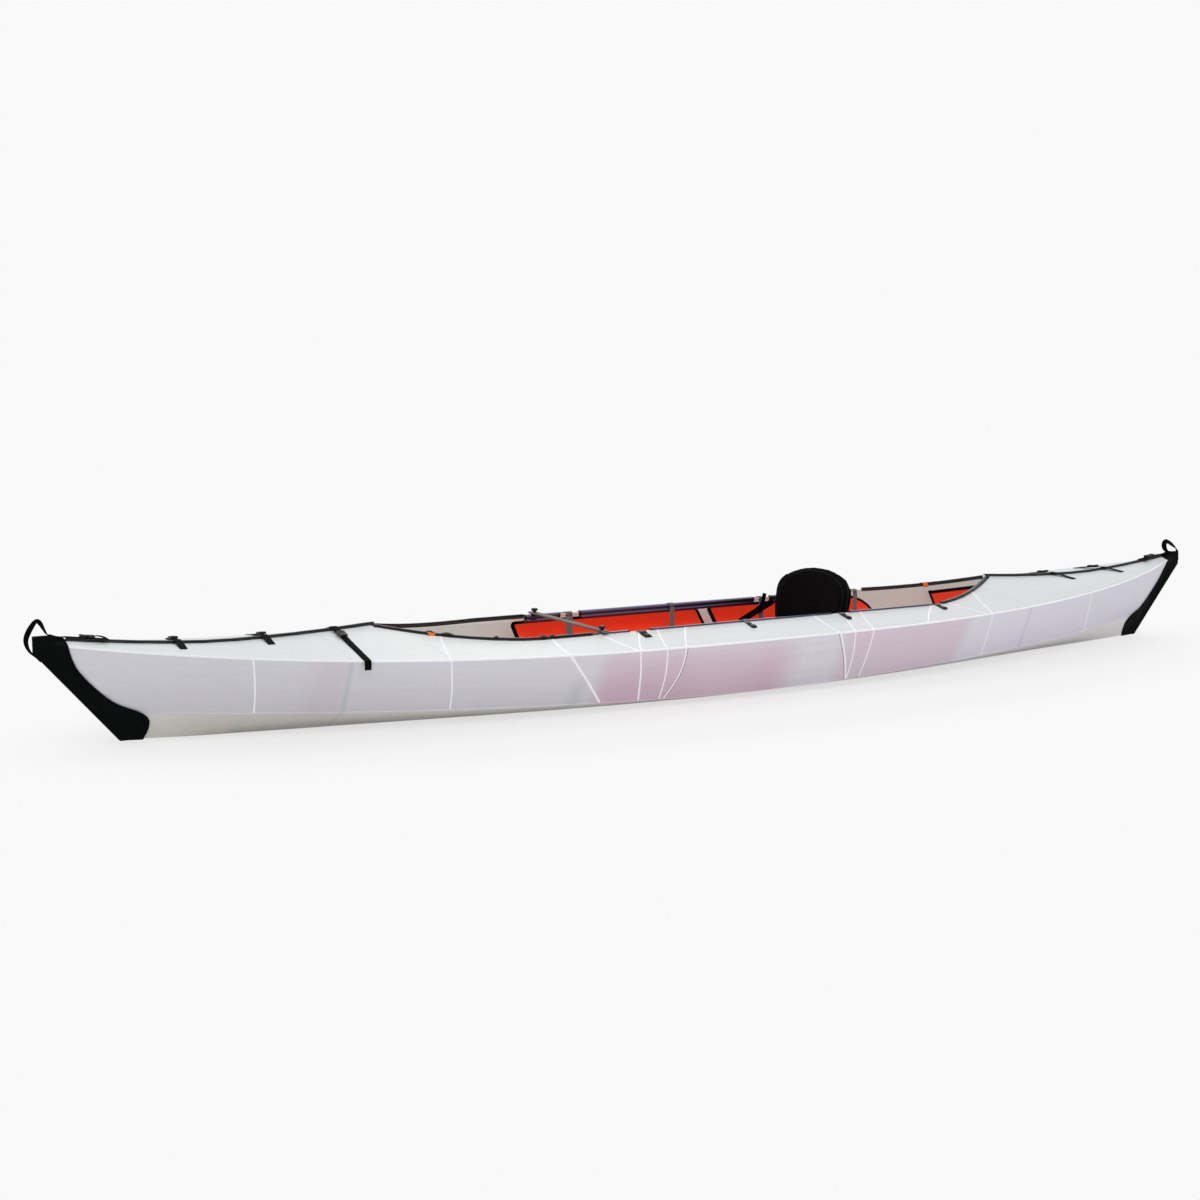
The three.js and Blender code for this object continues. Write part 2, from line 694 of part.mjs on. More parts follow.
// Cutter for a hole that a knob's stud turns in, as deep on each side of the place it is moved to
function uprightHole(depth) {
  const radius = knob.studRadius + clearance;
  return new THREE.CylinderGeometry(radius, radius, depth * 2, knob.roundSteps).rotateX(Math.PI / 2);
}

function railSolid(span, side) {
  const tube = toSolid(extrudeAlongX(railShape(side), span.from, span.to));
  if (braceX < span.from || braceX > span.to) return toGeometry(tube);
  const bore = uprightHole(knob.studDrop + clearance).translate(braceX, side * knobY, railTop);
  return toGeometry(tube.subtract(toSolid(bore)));
}

function buildRails() {
  for (const [side, sideName] of sideNames) {
    for (const [spanName, span] of Object.entries(railSpans)) {
      addMesh(`rail_${spanName}_${sideName}`, railSolid(span, side), 'rail');
    }
  }
}

// The boards are as broad as the hull's floor where it is narrowest under them. A wing leans out from
// a board's edge to just under the side deck.
const boardTop = sheetThickness + clearance + board.thickness;
const boardHalf = floorEdge(boardSpans.stern.to)[0] - board.edgeGap;
const wingHalf = sheerEdge(boardSpans.stern.to)[0] - wing.standOff;
const wingDeckShare = (wingHalf - rimLine.half) / (sheerLine.midHalf - rimLine.half);
const wingDeckHeight = between(rimLine.height, sheerLine.midHeight, wingDeckShare);
const wingHeight = wingDeckHeight - sheetThickness - wing.headroom;
const wingAngle = Math.atan2(wingHeight - boardTop, wingHalf - boardHalf);
const wingRise = Math.tan(wingAngle);
const wingOffset = wing.thickness / 2 / Math.cos(wingAngle);

// Height of a wing's inboard face at a distance from the middle
const wingFaceHeight = (y) => boardTop + (y - boardHalf) * wingRise + wingOffset;

// Distance from the middle of a wing's inboard face at a height
const wingFaceHalf = (height) => boardHalf + (height - boardTop - wingOffset) / wingRise;

// Highest point of the deck under a strip of a given width
function highestDeck(x, y, width) {
  return Math.max(deckHeight(x - width / 2, y), deckHeight(x, y), deckHeight(x + width / 2, y));
}

// Webbing clip: out over the deck to a hook, over the gunwale, and down to the floorboard's wing
function clipSolid(place, side) {
  const half = clip.thickness / 2;
  const ends = [place.x - clip.width / 2, place.x + clip.width / 2];
  const edgeHalf = Math.min(...ends.map((x) => sheetPoint(innerCrease, x).y));
  const edgeHeight = Math.max(...ends.map((x) => sheetPoint(innerCrease, x).z));
  const overDeck = (y) => [y, highestDeck(place.x, y, clip.width) + clearance + half];
  const turn = half + clearance;
  const path = [overDeck(edgeHalf + clip.reach), overDeck(edgeHalf + clip.reach / 2)];
  if (place.onRail) {
    const lipTop = edgeHeight + rail.lipTop + turn;
    const tubeHalf = edgeHalf - clearance - rail.tubeInset;
    const outside = edgeHalf + rail.lip + turn;
    path.push(overDeck(outside + rail.lip), [outside, lipTop - half], [outside - half, lipTop]);
    path.push(...arcPoints(tubeHalf, edgeHeight + rail.lipTop - rail.tube, rail.tube + turn));
  } else {
    path.push(overDeck(edgeHalf + rail.lip), [edgeHalf, edgeHeight + turn]);
    path.push([edgeHalf - turn, edgeHeight + half]);
  }
  const innerHalf = path[path.length - 1][0];
  const foot = wingFaceHeight(innerHalf) + clip.footLift;
  path.push([innerHalf, between(edgeHeight, foot, 1 / 2)], [innerHalf, foot]);
  const webbingPiece = extrudeAlongX(stripShape(flipSide(path, side), clip.thickness), ...ends);
  const hookEnds = [place.x - clip.hookWidth / 2, place.x + clip.hookWidth / 2];
  const hookPiece = extrudeAlongX(shapeOf(flipSide(hookOutline(place.x, edgeHalf), side)), ...hookEnds);
  return toGeometry(toSolid(webbingPiece).add(toSolid(hookPiece)));
}

const flipSide = (path, side) => path.map(([y, z]) => [y * side, z]);

// Quarter circle from straight up to straight inboard
function arcPoints(y, z, radius) {
  const points = [];
  for (let step = 0; step <= clip.arcSteps; step += 1) {
    const angle = (Math.PI / 2) * (1 + step / clip.arcSteps);
    points.push([y + radius * Math.cos(angle), z + radius * Math.sin(angle)]);
  }
  return points;
}

// Side view of the hook, which lies on the deck at the end of the webbing
function hookOutline(x, edgeHalf) {
  const near = edgeHalf + clip.reach - clip.hookLength / 3;
  const far = near + clip.hookLength;
  const floor = (y) => highestDeck(x, y, clip.hookWidth) + clearance;
  return [
    [near, floor(near)],
    [far, floor(far)],
    [far, floor(far) + clip.hookHeight - clip.hookRound],
    [far - clip.hookRound, floor(far) + clip.hookHeight],
    [near + clip.hookRound, floor(near) + clip.hookHeight],
    [near, floor(near) + clip.hookHeight - clip.hookRound],
  ];
}

// Clips sit in the gaps between the rails, behind the last one, and on the middle one
const clipPlaces = [
  { x: between(railSpans.fore.to, railSpans.middle.from, 1 / 2), onRail: false },
  { x: between(railSpans.middle.from, railSpans.middle.to, clip.midShare), onRail: true },
  { x: between(railSpans.middle.to, railSpans.aft.from, 1 / 2), onRail: false },
  { x: railSpans.aft.to + clip.aftGap, onRail: false },
];

function buildClips() {
  for (const [side, sideName] of sideNames) {
    clipPlaces.forEach((place, index) => {
      addMesh(`rail_clip_${sideName}_${index + 1}`, clipSolid(place, side), 'webbing');
    });
  }
}

// Ribbed cross brace: a round hole over the starboard stud and a slot open aft over the port one
function braceSolid() {
  const half = brace.width / 2;
  const base = railTop + clearance;
  const top = base + brace.thickness;
  const outline = [
    [-half + brace.edge, base], [half - brace.edge, base], [half, base + brace.edge], [half, top],
  ];
  for (const middle of [brace.grooveSpread, -brace.grooveSpread]) {
    const near = middle + brace.groove / 2;
    const far = middle - brace.groove / 2;
    outline.push([near, top], [near, top - brace.grooveDepth], [far, top - brace.grooveDepth], [far, top]);
  }
  outline.push([-half, top], [-half, base + brace.edge]);
  const shape = shapeOf(outline.map(([along, up]) => [along + braceX, up]));
  const length = knobY + brace.overhang;
  const cutDepth = brace.thickness + overrun;
  const hole = uprightHole(cutDepth).translate(braceX, knobY, top);
  const radius = knob.studRadius + clearance;
  const slot = new THREE.BoxGeometry(half + radius + overrun, brace.slotWidth, cutDepth * 2);
  slot.translate(braceX + (half + overrun - radius) / 2, -knobY, top);
  const bar = toSolid(extrudeAlongY(shape, -length, length));
  return toGeometry(bar.subtract(toSolid(hole)).subtract(toSolid(slot)));
}

function knobSolid(side) {
  const collarBase = railTop + clearance + brace.thickness + clearance;
  const collarTop = collarBase + knob.collarHeight;
  const headTop = collarTop + knob.headHeight;
  const profile = [
    [0, railTop - knob.studDrop],
    [knob.studRadius, railTop - knob.studDrop],
    [knob.studRadius, collarBase],
    [knob.collarRadius, collarBase],
    [knob.collarRadius, collarTop],
    [knob.headRadius - knob.headEdge, collarTop],
    [knob.headRadius, collarTop + knob.headEdge],
    [knob.headRadius, headTop - knob.headEdge],
    [knob.headRadius - knob.headEdge, headTop],
    [0, headTop],
  ];
  const points = profile.map(([radius, up]) => new THREE.Vector2(radius, up));
  const lathe = new THREE.LatheGeometry(points, knob.roundSteps);
  let solid = toSolid(lathe.rotateX(Math.PI / 2));
  const height = knob.headHeight + overrun;
  const scallop = new THREE.CylinderGeometry(knob.scallop, knob.scallop, height, knob.roundSteps / 2);
  scallop.rotateX(Math.PI / 2).translate(knob.headRadius + knob.scallop / 3, 0, collarTop + height / 2);
  for (let lobe = 0; lobe < knob.lobes; lobe += 1) {
    const turn = (lobe / knob.lobes) * Math.PI * 2;
    solid = solid.subtract(toSolid(scallop.clone().rotateZ(turn)));
  }
  return toGeometry(solid.translate([braceX, side * knobY, 0]));
}

function buildBrace() {
  addMesh('brace_bar', braceSolid(), 'brace');
  for (const [side, sideName] of sideNames) addMesh(`brace_knob_${sideName}`, knobSolid(side), 'trim');
}

// Bulkheads: a plate cut to the inside of the hull
function buildBulkheads() {
  const inside = hullForm(-bulkhead.formShare, bulkhead.formShare, sheetThickness + bulkhead.clearance, 0);
  const form = inside.intersect(inside.translate([0, 0, -bulkhead.headroom]));
  const places = {
    bow: -alongEndDeck(bulkheadPlace.bowShare),
    stern: rimLine.peakReach - bulkheadPlace.sternInset,
  };
  for (const [, endName] of endNames) {
    const x = places[endName];
    const slab = new THREE.BoxGeometry(bulkhead.thickness, sheerLine.midHalf * 2, sheerLine.midHalf * 2);
    const plate = form.intersect(toSolid(slab.translate(x, 0, 0)));
    addMesh(`${endName}_bulkhead`, toGeometry(plate), 'board');
  }
}

// Floorboards
function roundedPlate(from, to, low, high, corners, thickness) {
  const [lowStart, lowEnd, highEnd, highStart] = corners;
  const shape = new THREE.Shape();
  shape.moveTo(from + lowStart, low);
  shape.lineTo(to - lowEnd, low);
  shape.quadraticCurveTo(to, low, to, low + lowEnd);
  shape.lineTo(to, high - highEnd);
  shape.quadraticCurveTo(to, high, to - highEnd, high);
  shape.lineTo(from + highStart, high);
  shape.quadraticCurveTo(from, high, from, high - highStart);
  shape.lineTo(from, low + lowStart);
  shape.quadraticCurveTo(from, low, from + lowStart, low);
  return thicken(shape, thickness, board.cornerSteps);
}

function buildFloorboards() {
  for (const [end, endName] of endNames) {
    const { from, to } = boardSpans[endName];
    const round = board.corner;
    const corners = [round, round, round, round];
    const flat = roundedPlate(from, to, -boardHalf, boardHalf, corners, board.thickness);
    addMesh(`${endName}_floorboard`, flat.translate(0, 0, sheetThickness + clearance), 'board');
    const height = Math.hypot(wingHeight - boardTop, wingHalf - boardHalf);
    const aftRound = end === stern ? wing.sternCorner : wing.corner;
    for (const [side, sideName] of sideNames) {
      const wingCorners = [round, round, aftRound, wing.corner];
      const plate = roundedPlate(from, to, clearance, height, wingCorners, wing.thickness);
      plate.translate(0, 0, -wing.thickness / 2).rotateX(wingAngle).translate(0, boardHalf, boardTop);
      addMesh(`${endName}_floor_wing_${sideName}`, side === port ? mirrored(plate, 1, -1) : plate, 'board');
    }
  }
}

const padBase = boardTop + clearance;
const padBaseHalf = boardHalf - pad.baseInset;
const padShoulderHalf = wingFaceHalf(pad.shoulderHeight) - pad.wingGap;

// How full the pad is at a place along it: 1 in its middle, falling to 0 round its two ends
function padFill(x) {
  const end = bounded(Math.min(x - pad.from, pad.to - x) / pad.endRound);
  return Math.sqrt(1 - (1 - end) ** 2);
}

// Seat pad: crowned, drawn in along its sides, and sewn down across in two channels
function padSolid() {
  const length = pad.to - pad.from;
  const channels = pad.channelShares.map((share) => between(pad.from, pad.to, share));
  const stops = channels.flatMap((x) => [x - pad.channelHalf, x, x + pad.channelHalf]);
  const isClear = (x) => channels.every((channel) => Math.abs(channel - x) > pad.channelHalf * 1.5);
  for (let step = 0; step <= pad.steps; step += 1) {
    const x = between(pad.from, pad.to, step / pad.steps);
    if (isClear(x)) stops.push(x);
  }
  stops.push(pad.from + pad.endRound / 8, pad.to - pad.endRound / 8);
  stops.sort((first, second) => first - second);
  const rings = stops.map((x) => {
    const drawnIn = pad.sideDraw * Math.sin((Math.PI * (x - pad.from)) / length);
    const sewn = channels.includes(x) ? pad.channelDepth : 0;
    const width = between(pad.endWidthShare, 1, padFill(x)) * (1 - drawnIn / padShoulderHalf);
    return padRing(x, width, between(pad.endHeightShare, 1, padFill(x)), sewn);
  });
  return loft(rings);
}

function padRing(x, width, height, sewn) {
  const shoulder = padBase + (pad.shoulderHeight - padBase) * height;
  const top = padBase + (pad.topHeight - padBase) * height - sewn;
  const edge = padShoulderHalf - pad.edgeRound;
  const ring = [
    [-padBaseHalf * width, padBase],
    [padBaseHalf * width, padBase],
    [padShoulderHalf * width, shoulder],
  ];
  for (let step = 0; step <= pad.topSteps; step += 1) {
    const share = step / pad.topSteps;
    const crown = pad.crown * height * Math.sin(Math.PI * share);
    ring.push([between(edge, -edge, share) * width, top + crown]);
  }
  ring.push([-padShoulderHalf * width, shoulder]);
  return ring.map(([across, up]) => new THREE.Vector3(x, across, up));
}

// The back leans over the pad's rear end and stands on it. Its widest line is above its foot.
const backLean = THREE.MathUtils.degToRad(back.leanDegrees);
const backHalf = rimLine.half - back.railGap;
const backX = pad.to + back.behind;
const footX = backX - (back.widest - pad.topHeight) * Math.tan(backLean);
const footFill = between(pad.endHeightShare, 1, padFill(footX));
const footHeight = padBase + (pad.topHeight + pad.crown - padBase) * footFill;
const lowerReach = (back.widest - footHeight) / Math.cos(backLean) - clearance;

function backRing(scale, depth) {
  const ring = [];
  for (let step = 0; step < back.steps; step += 1) {
    const angle = (step / back.steps) * Math.PI * 2;
    const [along, rise] = [Math.cos(angle), Math.sin(angle)];
    const power = rise > 0 ? back.upperPower : back.lowerPower;
    const reach = rise > 0 ? back.top - back.widest : lowerReach;
    const across = Math.sign(along) * Math.abs(along) ** (2 / power) * backHalf * scale;
    const up = Math.sign(rise) * Math.abs(rise) ** (2 / power) * reach * scale;
    const wrap = back.wrap * (across / backHalf) ** 2;
    ring.push(new THREE.Vector3(depth - wrap, across, up));
  }
  return ring;
}

function backSolid() {
  const layers = [...backFrontShares, ...backRearShares];
  const rings = layers.map(([scale, depth]) => backRing(scale, (depth * back.thickness) / 2));
  return loft(rings).rotateY(backLean).translate(backX, 0, back.widest);
}

// Half the back's breadth at a distance below its widest line
function backHalfBelow(drop) {
  return backHalf * (1 - (drop / lowerReach) ** back.lowerPower) ** (1 / back.lowerPower);
}

// Strap from the side of the back down and forward, with its loose end standing up
function seatStrapSolid(side) {
  const [upperHalf, lowerHalf] = [seatStrap.upperWidth / 2, seatStrap.lowerWidth / 2];
  const near = backHalfBelow(seatStrap.below - upperHalf) + clearance - seatStrap.tuck;
  const far = near + seatStrap.thickness;
  const upperX = backX - seatStrap.ahead;
  const upperZ = back.widest - seatStrap.below;
  const lowerX = upperX - seatStrap.reach;
  const lowerZ = wingFaceHeight(far) + seatStrap.wingLift;
  const tailHalf = seatStrap.tailWidth / 2;
  const tailX = upperX - seatStrap.tailAhead;
  const tailTopX = tailX + seatStrap.tailLean;
  const tailTopZ = upperZ + seatStrap.tailRise;
  const heightAt = (x) => between(lowerZ, upperZ, (x - lowerX) / seatStrap.reach);
  const shape = shapeOf([
    [lowerX, lowerZ - lowerHalf],
    [upperX, upperZ - upperHalf],
    [upperX, upperZ + upperHalf],
    [tailX + tailHalf, heightAt(tailX + tailHalf) + upperHalf],
    [tailTopX + tailHalf, tailTopZ],
    [tailTopX - tailHalf, tailTopZ],
    [tailX - tailHalf, heightAt(tailX - tailHalf) + lowerHalf],
    [lowerX, lowerZ + lowerHalf],
  ]);
  return side === starboard ? extrudeAlongY(shape, near, far) : extrudeAlongY(shape, -far, -near);
}

function buildSeat() {
  addMesh('seat_pad', padSolid(), 'cushion');
  addMesh('seat_back', backSolid(), 'cushion');
  for (const [side, sideName] of sideNames) addMesh(`seat_strap_${sideName}`, seatStrapSolid(side), 'strap');
}

// Places across the boat where a strap's path turns: evenly along it, and where it crosses the seam
function strapStops(far, near) {
  const crossing = [seamTrim.half * 2.5, seamTrim.half, -seamTrim.half, seamTrim.half * -2.5];
  const steps = Math.ceil((far - near) / webbing.step);
  const stops = [...crossing];
  for (let step = 0; step <= steps; step += 1) {
    const y = between(far, near, step / steps);
    if (Math.abs(y) > crossing[0]) stops.push(y);
  }
  return stops.sort((first, second) => second - first);
}

// Height of a strap's underside: on the deck, and over the trim where it crosses the seam
function strapFloor(x, y) {
  const trimTop = sheetPoint(innerCrease, x).z + clearance + seamTrim.height;
  const floor = Math.abs(y) > seamTrim.half * 2 ? deckHeight(x, y) : trimTop;
  return floor + webbing.clearance;
}

function strapRings(strap) {
  const start = strap.end * alongEndDeck(strap.alongShare);
  const sheerHalf = sheerEdge(start)[0];
  const far = sheerHalf * strap.farShare;
  const near = -sheerHalf * strap.nearShare;
  const rings = strapStops(far, near).map((y) => {
    const x = start + strap.slant * ((far - y) / (far - near));
    const [fore, aft] = [x - webbing.width / 2, x + webbing.width / 2];
    const [foreFloor, aftFloor] = [strapFloor(fore, y), strapFloor(aft, y)];
    return [
      new THREE.Vector3(fore, y, foreFloor),
      new THREE.Vector3(aft, y, aftFloor),
      new THREE.Vector3(aft, y, aftFloor + webbing.thickness),
      new THREE.Vector3(fore, y, foreFloor + webbing.thickness),
    ];
  });
  if (strap.hangs) rings.push(...tailRings(rings[rings.length - 1]));
  return rings;
}

// The loose end of a strap, which hangs down over the sheer
function tailRings(last) {
  const [fore, aft] = last;
  const out = webbing.thickness + webbing.clearance;
  return [[out, 0], [out * 1.5, -webbing.tailDrop]].map(([across, up]) => [
    new THREE.Vector3(fore.x, fore.y - across + webbing.thickness, fore.z + up),
    new THREE.Vector3(aft.x, aft.y - across + webbing.thickness, aft.z + up),
    new THREE.Vector3(aft.x, aft.y - across, aft.z + up + webbing.thickness / 2),
    new THREE.Vector3(fore.x, fore.y - across, fore.z + up + webbing.thickness / 2),
  ]);
}

function buckleShape() {
  const half = buckle.width / 2;
  const reach = buckle.length / 2;
  const rightSide = [
    [half - buckle.corner, -reach],
    [half, buckle.corner - reach],
    [half, -buckle.notchLength / 2],
    [half - buckle.notch, 0],
    [half, buckle.notchLength / 2],
    [half, reach - buckle.corner],
    [buckle.throat / 2, reach],
  ];
  const leftSide = rightSide.map(([across, along]) => [-across, along]).reverse();
  return shapeOf([...rightSide, ...leftSide]);
}

// Moves a body drawn on a level plane to a place on the deck, lying flat on it
function layOnDeck(geometry, x, y, lift) {
  const reach = buckle.width / 2;
  const riseAft = deckHeight(x + reach, y) - deckHeight(x - reach, y);
  const riseAcross = deckHeight(x, y + reach) - deckHeight(x, y - reach);
  const along = new THREE.Vector3(reach * 2, 0, riseAft).normalize();
  const across = new THREE.Vector3(0, reach * 2, riseAcross);
  const up = along.clone().cross(across).normalize();
  geometry.applyMatrix4(new THREE.Matrix4().makeBasis(along, up.clone().cross(along), up));
  return geometry.translate(x, y, deckHeight(x, y) + lift);
}

function deckStrapSolid(strap) {
  const rings = strapRings(strap);
  const gap = (ring) => Math.abs(ring[0].y - strap.buckleY);
  const nearest = rings.reduce((best, ring) => (gap(ring) < gap(best) ? ring : best));
  const body = thicken(buckleShape(), buckle.thickness, 1);
  layOnDeck(body, (nearest[0].x + nearest[1].x) / 2, strap.buckleY, webbing.clearance + clearance);
  return toGeometry(toSolid(loft(rings)).add(toSolid(body)));
}

function buildDeckStraps() {
  for (const strap of deckStraps) addMesh(strap.name, deckStrapSolid(strap), 'strap');
}

// A place on the front of the stern cap's nose, at a distance below its top, with the loop laid on it
function nosePlace(drop) {
  const height = noseTop - drop;
  const lift = clearance + grabLoop.thickness / 2;
  if (height > frontHeight) return [noseReach + lift, height];
  const rake = Math.atan2(noseReach - toeReach, frontHeight - toeHeight);
  const front = noseReach - (frontHeight - height) * Math.tan(rake);
  return [front + lift * Math.cos(rake), height - lift * Math.sin(rake)];
}

function grabLoopSolid({ end, sewnDrops, freeShares, landingInset }) {
  const free = freeShares.map(([out, up]) => [
    noseReach + out * grabLoop.size,
    noseTop + up * grabLoop.size,
  ]);
  const landed = noseTop + clearance + grabLoop.thickness / 2;
  const landing = [
    [noseReach - landingInset, landed + clearance],
    [noseReach - landingInset + end * grabLoop.landing, landed],
  ];
  const path = [...sewnDrops.map(nosePlace), ...free, ...landing];
  const shape = stripShape(smoothPath(path, grabLoop.steps), grabLoop.thickness);
  const loop = extrudeAlongY(shape, -grabLoop.width / 2, grabLoop.width / 2);
  return end === stern ? loop : mirrored(loop, -1, 1);
}

function buildGrabLoops() {
  for (const loop of grabLoops) addMesh(loop.name, grabLoopSolid(loop), 'strap');
}

buildHull();
buildCaps();
buildTrims();
buildRails();
buildClips();
buildBrace();
buildBulkheads();
buildFloorboards();
buildSeat();
buildDeckStraps();
buildGrabLoops();

export default part;
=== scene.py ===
# Looks of a folding kayak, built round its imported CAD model. Metres, bow at -X, starboard at +Y.

import math

import bmesh
import bpy
import numpy as np
from mathutils import Matrix, Vector
from mathutils.bvhtree import BVHTree


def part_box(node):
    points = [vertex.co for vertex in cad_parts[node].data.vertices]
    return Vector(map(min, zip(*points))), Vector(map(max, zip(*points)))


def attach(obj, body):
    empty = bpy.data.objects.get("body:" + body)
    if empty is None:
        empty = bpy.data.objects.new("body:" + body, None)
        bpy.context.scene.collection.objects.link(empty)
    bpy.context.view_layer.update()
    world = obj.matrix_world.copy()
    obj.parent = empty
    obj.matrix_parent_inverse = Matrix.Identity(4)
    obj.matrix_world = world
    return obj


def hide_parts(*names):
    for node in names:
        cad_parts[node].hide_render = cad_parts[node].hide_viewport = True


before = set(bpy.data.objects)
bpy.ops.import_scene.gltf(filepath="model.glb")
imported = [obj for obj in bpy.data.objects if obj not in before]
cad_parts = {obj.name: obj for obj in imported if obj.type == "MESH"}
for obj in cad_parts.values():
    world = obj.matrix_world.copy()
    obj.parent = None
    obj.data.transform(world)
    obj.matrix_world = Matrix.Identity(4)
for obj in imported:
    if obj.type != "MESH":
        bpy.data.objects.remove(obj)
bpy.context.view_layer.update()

MM = 0.001
SIDES = {"port": -1, "starboard": 1}
ENDS = {"bow": -1, "stern": 1}
UP = Vector((0, 0, 1))
AFT = Vector((1, 0, 0))
STARBOARD = Vector((0, 1, 0))
DECKS = ("bow_deck", "side_deck", "stern_deck")
BILGES = ("bow_bilge", "middle_bilge", "stern_bilge")
RAILS = ("rail_fore", "rail_middle", "rail_aft")
SEAMS = ("bow_seam_trim", "stern_seam_trim")


# Materials

def colour(code):
    """A web colour as the linear values that a shader takes."""
    parts = [int(code[i:i + 2], 16) / 255 for i in (1, 3, 5)]
    return tuple(c / 12.92 if c <= 0.04045 else ((c + 0.055) / 1.055) ** 2.4 for c in parts) + (1.0,)


WHITE = colour("#ffffff")
BLACK = colour("#000000")


class Graph:
    """A node tree, with short calls for adding nodes to it."""

    def __init__(self, tree):
        self.nodes = tree.nodes
        self.links = tree.links

    def feed(self, value, socket):
        """Sets a socket to a number or a colour, or links another node's output to it."""
        if isinstance(value, (int, float, tuple)):
            socket.default_value = value
        else:
            self.links.new(value, socket)

    def node(self, kind, **inputs):
        """A new node with its sockets fed by name, where an underscore stands for a space."""
        made = self.nodes.new(kind)
        for name, value in inputs.items():
            self.feed(value, made.inputs[name.replace("_", " ")])
        return made

    def math(self, operation, first, second=0.0):
        node = self.nodes.new("ShaderNodeMath")
        node.operation = operation
        for socket, value in zip(node.inputs, (first, second)):
            self.feed(value, socket)
        return node.outputs[0]

    def cover(self, share, under, over, result):
        """Lays one shader over another by a share, and makes the mix the result of the tree."""
        blend = self.nodes.new("ShaderNodeMixShader")
        for socket, value in zip(blend.inputs, (share, under, over)):
            self.feed(value, socket)
        self.feed(blend.outputs[0], self.nodes[result].inputs["Surface"])


class Finish(Graph):
    """A material, with short calls for the nodes that the materials here share."""

    def __init__(self, name, roughness=0.5, specular=0.5, metallic=0.0, coat=0.0, sheen=0.0):
        self.material = bpy.data.materials.new(name)
        self.material.use_nodes = True
        super().__init__(self.material.node_tree)
        self.shader = self.nodes["Principled BSDF"]
        looks = {"Roughness": roughness, "Specular IOR Level": specular, "Metallic": metallic,
                 "Coat Weight": coat, "Sheen Weight": sheen}
        for socket, value in looks.items():
            self.feed(value, self.shader.inputs[socket])
        self.coordinates = self.nodes.new("ShaderNodeTexCoord").outputs
        self.bumps = None

    def split(self, source="Object"):
        return self.node("ShaderNodeSeparateXYZ", Vector=self.coordinates[source]).outputs

    def mapped(self, stretch, source="Object"):
        return self.node("ShaderNodeMapping", Scale=stretch, Vector=self.coordinates[source]).outputs[0]

    def noise(self, scale, stretch=(1, 1, 1), detail=3.0):
        vector = self.mapped(stretch)
        return self.node("ShaderNodeTexNoise", Scale=scale, Detail=detail, Vector=vector).outputs["Fac"]

    def wave(self, scale, direction, source="Object"):
        node = self.node("ShaderNodeTexWave", Scale=scale, Vector=self.mapped((1, 1, 1), source))
        node.bands_direction = direction
        return node.outputs["Fac"]

    def times(self, first, second):
        return self.math("MULTIPLY", first, second)

    def larger(self, first, second):
        return self.math("MAXIMUM", first, second)

    def ramp(self, value, low, high, low_out=0.0, high_out=1.0):
        node = self.node(
            "ShaderNodeMapRange", Value=value, From_Min=low, From_Max=high, To_Min=low_out, To_Max=high_out
        )
        node.interpolation_type = "SMOOTHSTEP"
        return node.outputs["Result"]

    def between(self, value, start, end, height=1.0):
        """0 outside a stretch and a height inside it. Its start and its end each ramp between two places."""
        return self.times(self.ramp(value, *start), self.ramp(value, *end, height, 0.0))

    def mix(self, factor, first, second):
        node = self.nodes.new("ShaderNodeMix")
        node.data_type = "RGBA"
        colours = [socket for socket in node.inputs if socket.type == "RGBA"]
        for socket, value in zip([node.inputs["Factor"]] + colours, (factor, first, second)):
            self.feed(value, socket)
        return [socket for socket in node.outputs if socket.type == "RGBA"][0]

    def paint(self, shade):
        self.feed(shade, self.shader.inputs["Base Color"])

    def two_tone(self, factor, dark, light):
        """Paints the surface between two web colours, and returns the paint."""
        shade = self.mix(factor, colour(dark), colour(light))
        self.paint(shade)
        return shade

    def emit(self, shade, strength):
        self.feed(shade, self.shader.inputs["Emission Color"])
        self.shader.inputs["Emission Strength"].default_value = strength

    def bump(self, value, strength, distance):
        """Adds a relief to those that the surface has."""
        node = self.node("ShaderNodeBump", Strength=strength, Distance=distance, Height=value)
        if self.bumps is not None:
            self.feed(self.bumps, node.inputs["Normal"])
        self.bumps = node.outputs["Normal"]
        self.feed(self.bumps, self.shader.inputs["Normal"])

    def gloss(self, value, low, high):
        self.feed(self.ramp(value, 0.3, 0.7, low, high), self.shader.inputs["Roughness"])


# Emission that stands for light, painted on: daylight coming through the sheet's inner faces and through the
# boards, and a painted highlight on the pressed creases
INNER_GLOW = 0.36
BOARD_GLOW = 0.32
CREASE_GLOW = 0.11

# Painted shade: faint upright lines where the bulkheads' shade shows through the sheet. x at the bottom,
# slope and half width
BULKHEAD_SHADE_LINES = ((-1.535, -0.05, 0.014), (1.335, -0.3, 0.014))


def near_plane(finish, x, z, place, slope, width):
    """1 on an upright plane across the boat that leans by slope, and 0 at a width from it."""
    plane = finish.math("ADD", finish.times(z, slope), place)
    distance = finish.math("ABSOLUTE", finish.math("SUBTRACT", x, plane))
    return finish.ramp(distance, 0.0, width, 1.0, 0.0)


def board_glow_through(finish, x, z):
    """How much painted light a place takes from the boards' colour glowing through the sheet."""
    cloud = finish.noise(1.6, (1, 2, 2), 2.0)
    fore = finish.between(x, (-0.72, -0.64), (0.0, 0.18))
    fore = finish.times(fore, finish.ramp(z, 0.08, 0.26, 1.0, 0.2))
    aft = finish.between(x, (0.27, 0.37), (0.89, 0.97), 0.48)
    hint = finish.between(x, (-1.72, -1.62), (-1.57, -1.54), 0.3)
    lit_through = finish.larger(finish.larger(fore, aft), hint)
    return finish.times(lit_through, finish.ramp(cloud, 0.3, 0.62, 0.7, 1.0))


def inner_shade(finish, x, z):
    """How much a place is in the shade of the bulkheads and at the boards' fore end."""
    shade = near_plane(finish, x, z, -0.755, 0.05, 0.05)
    shade = finish.times(shade, finish.ramp(z, 0.1, 0.17, 0.8, 0.0))
    for place, slope, width in BULKHEAD_SHADE_LINES:
        shade = finish.larger(shade, near_plane(finish, x, z, place, slope, width))
    return shade


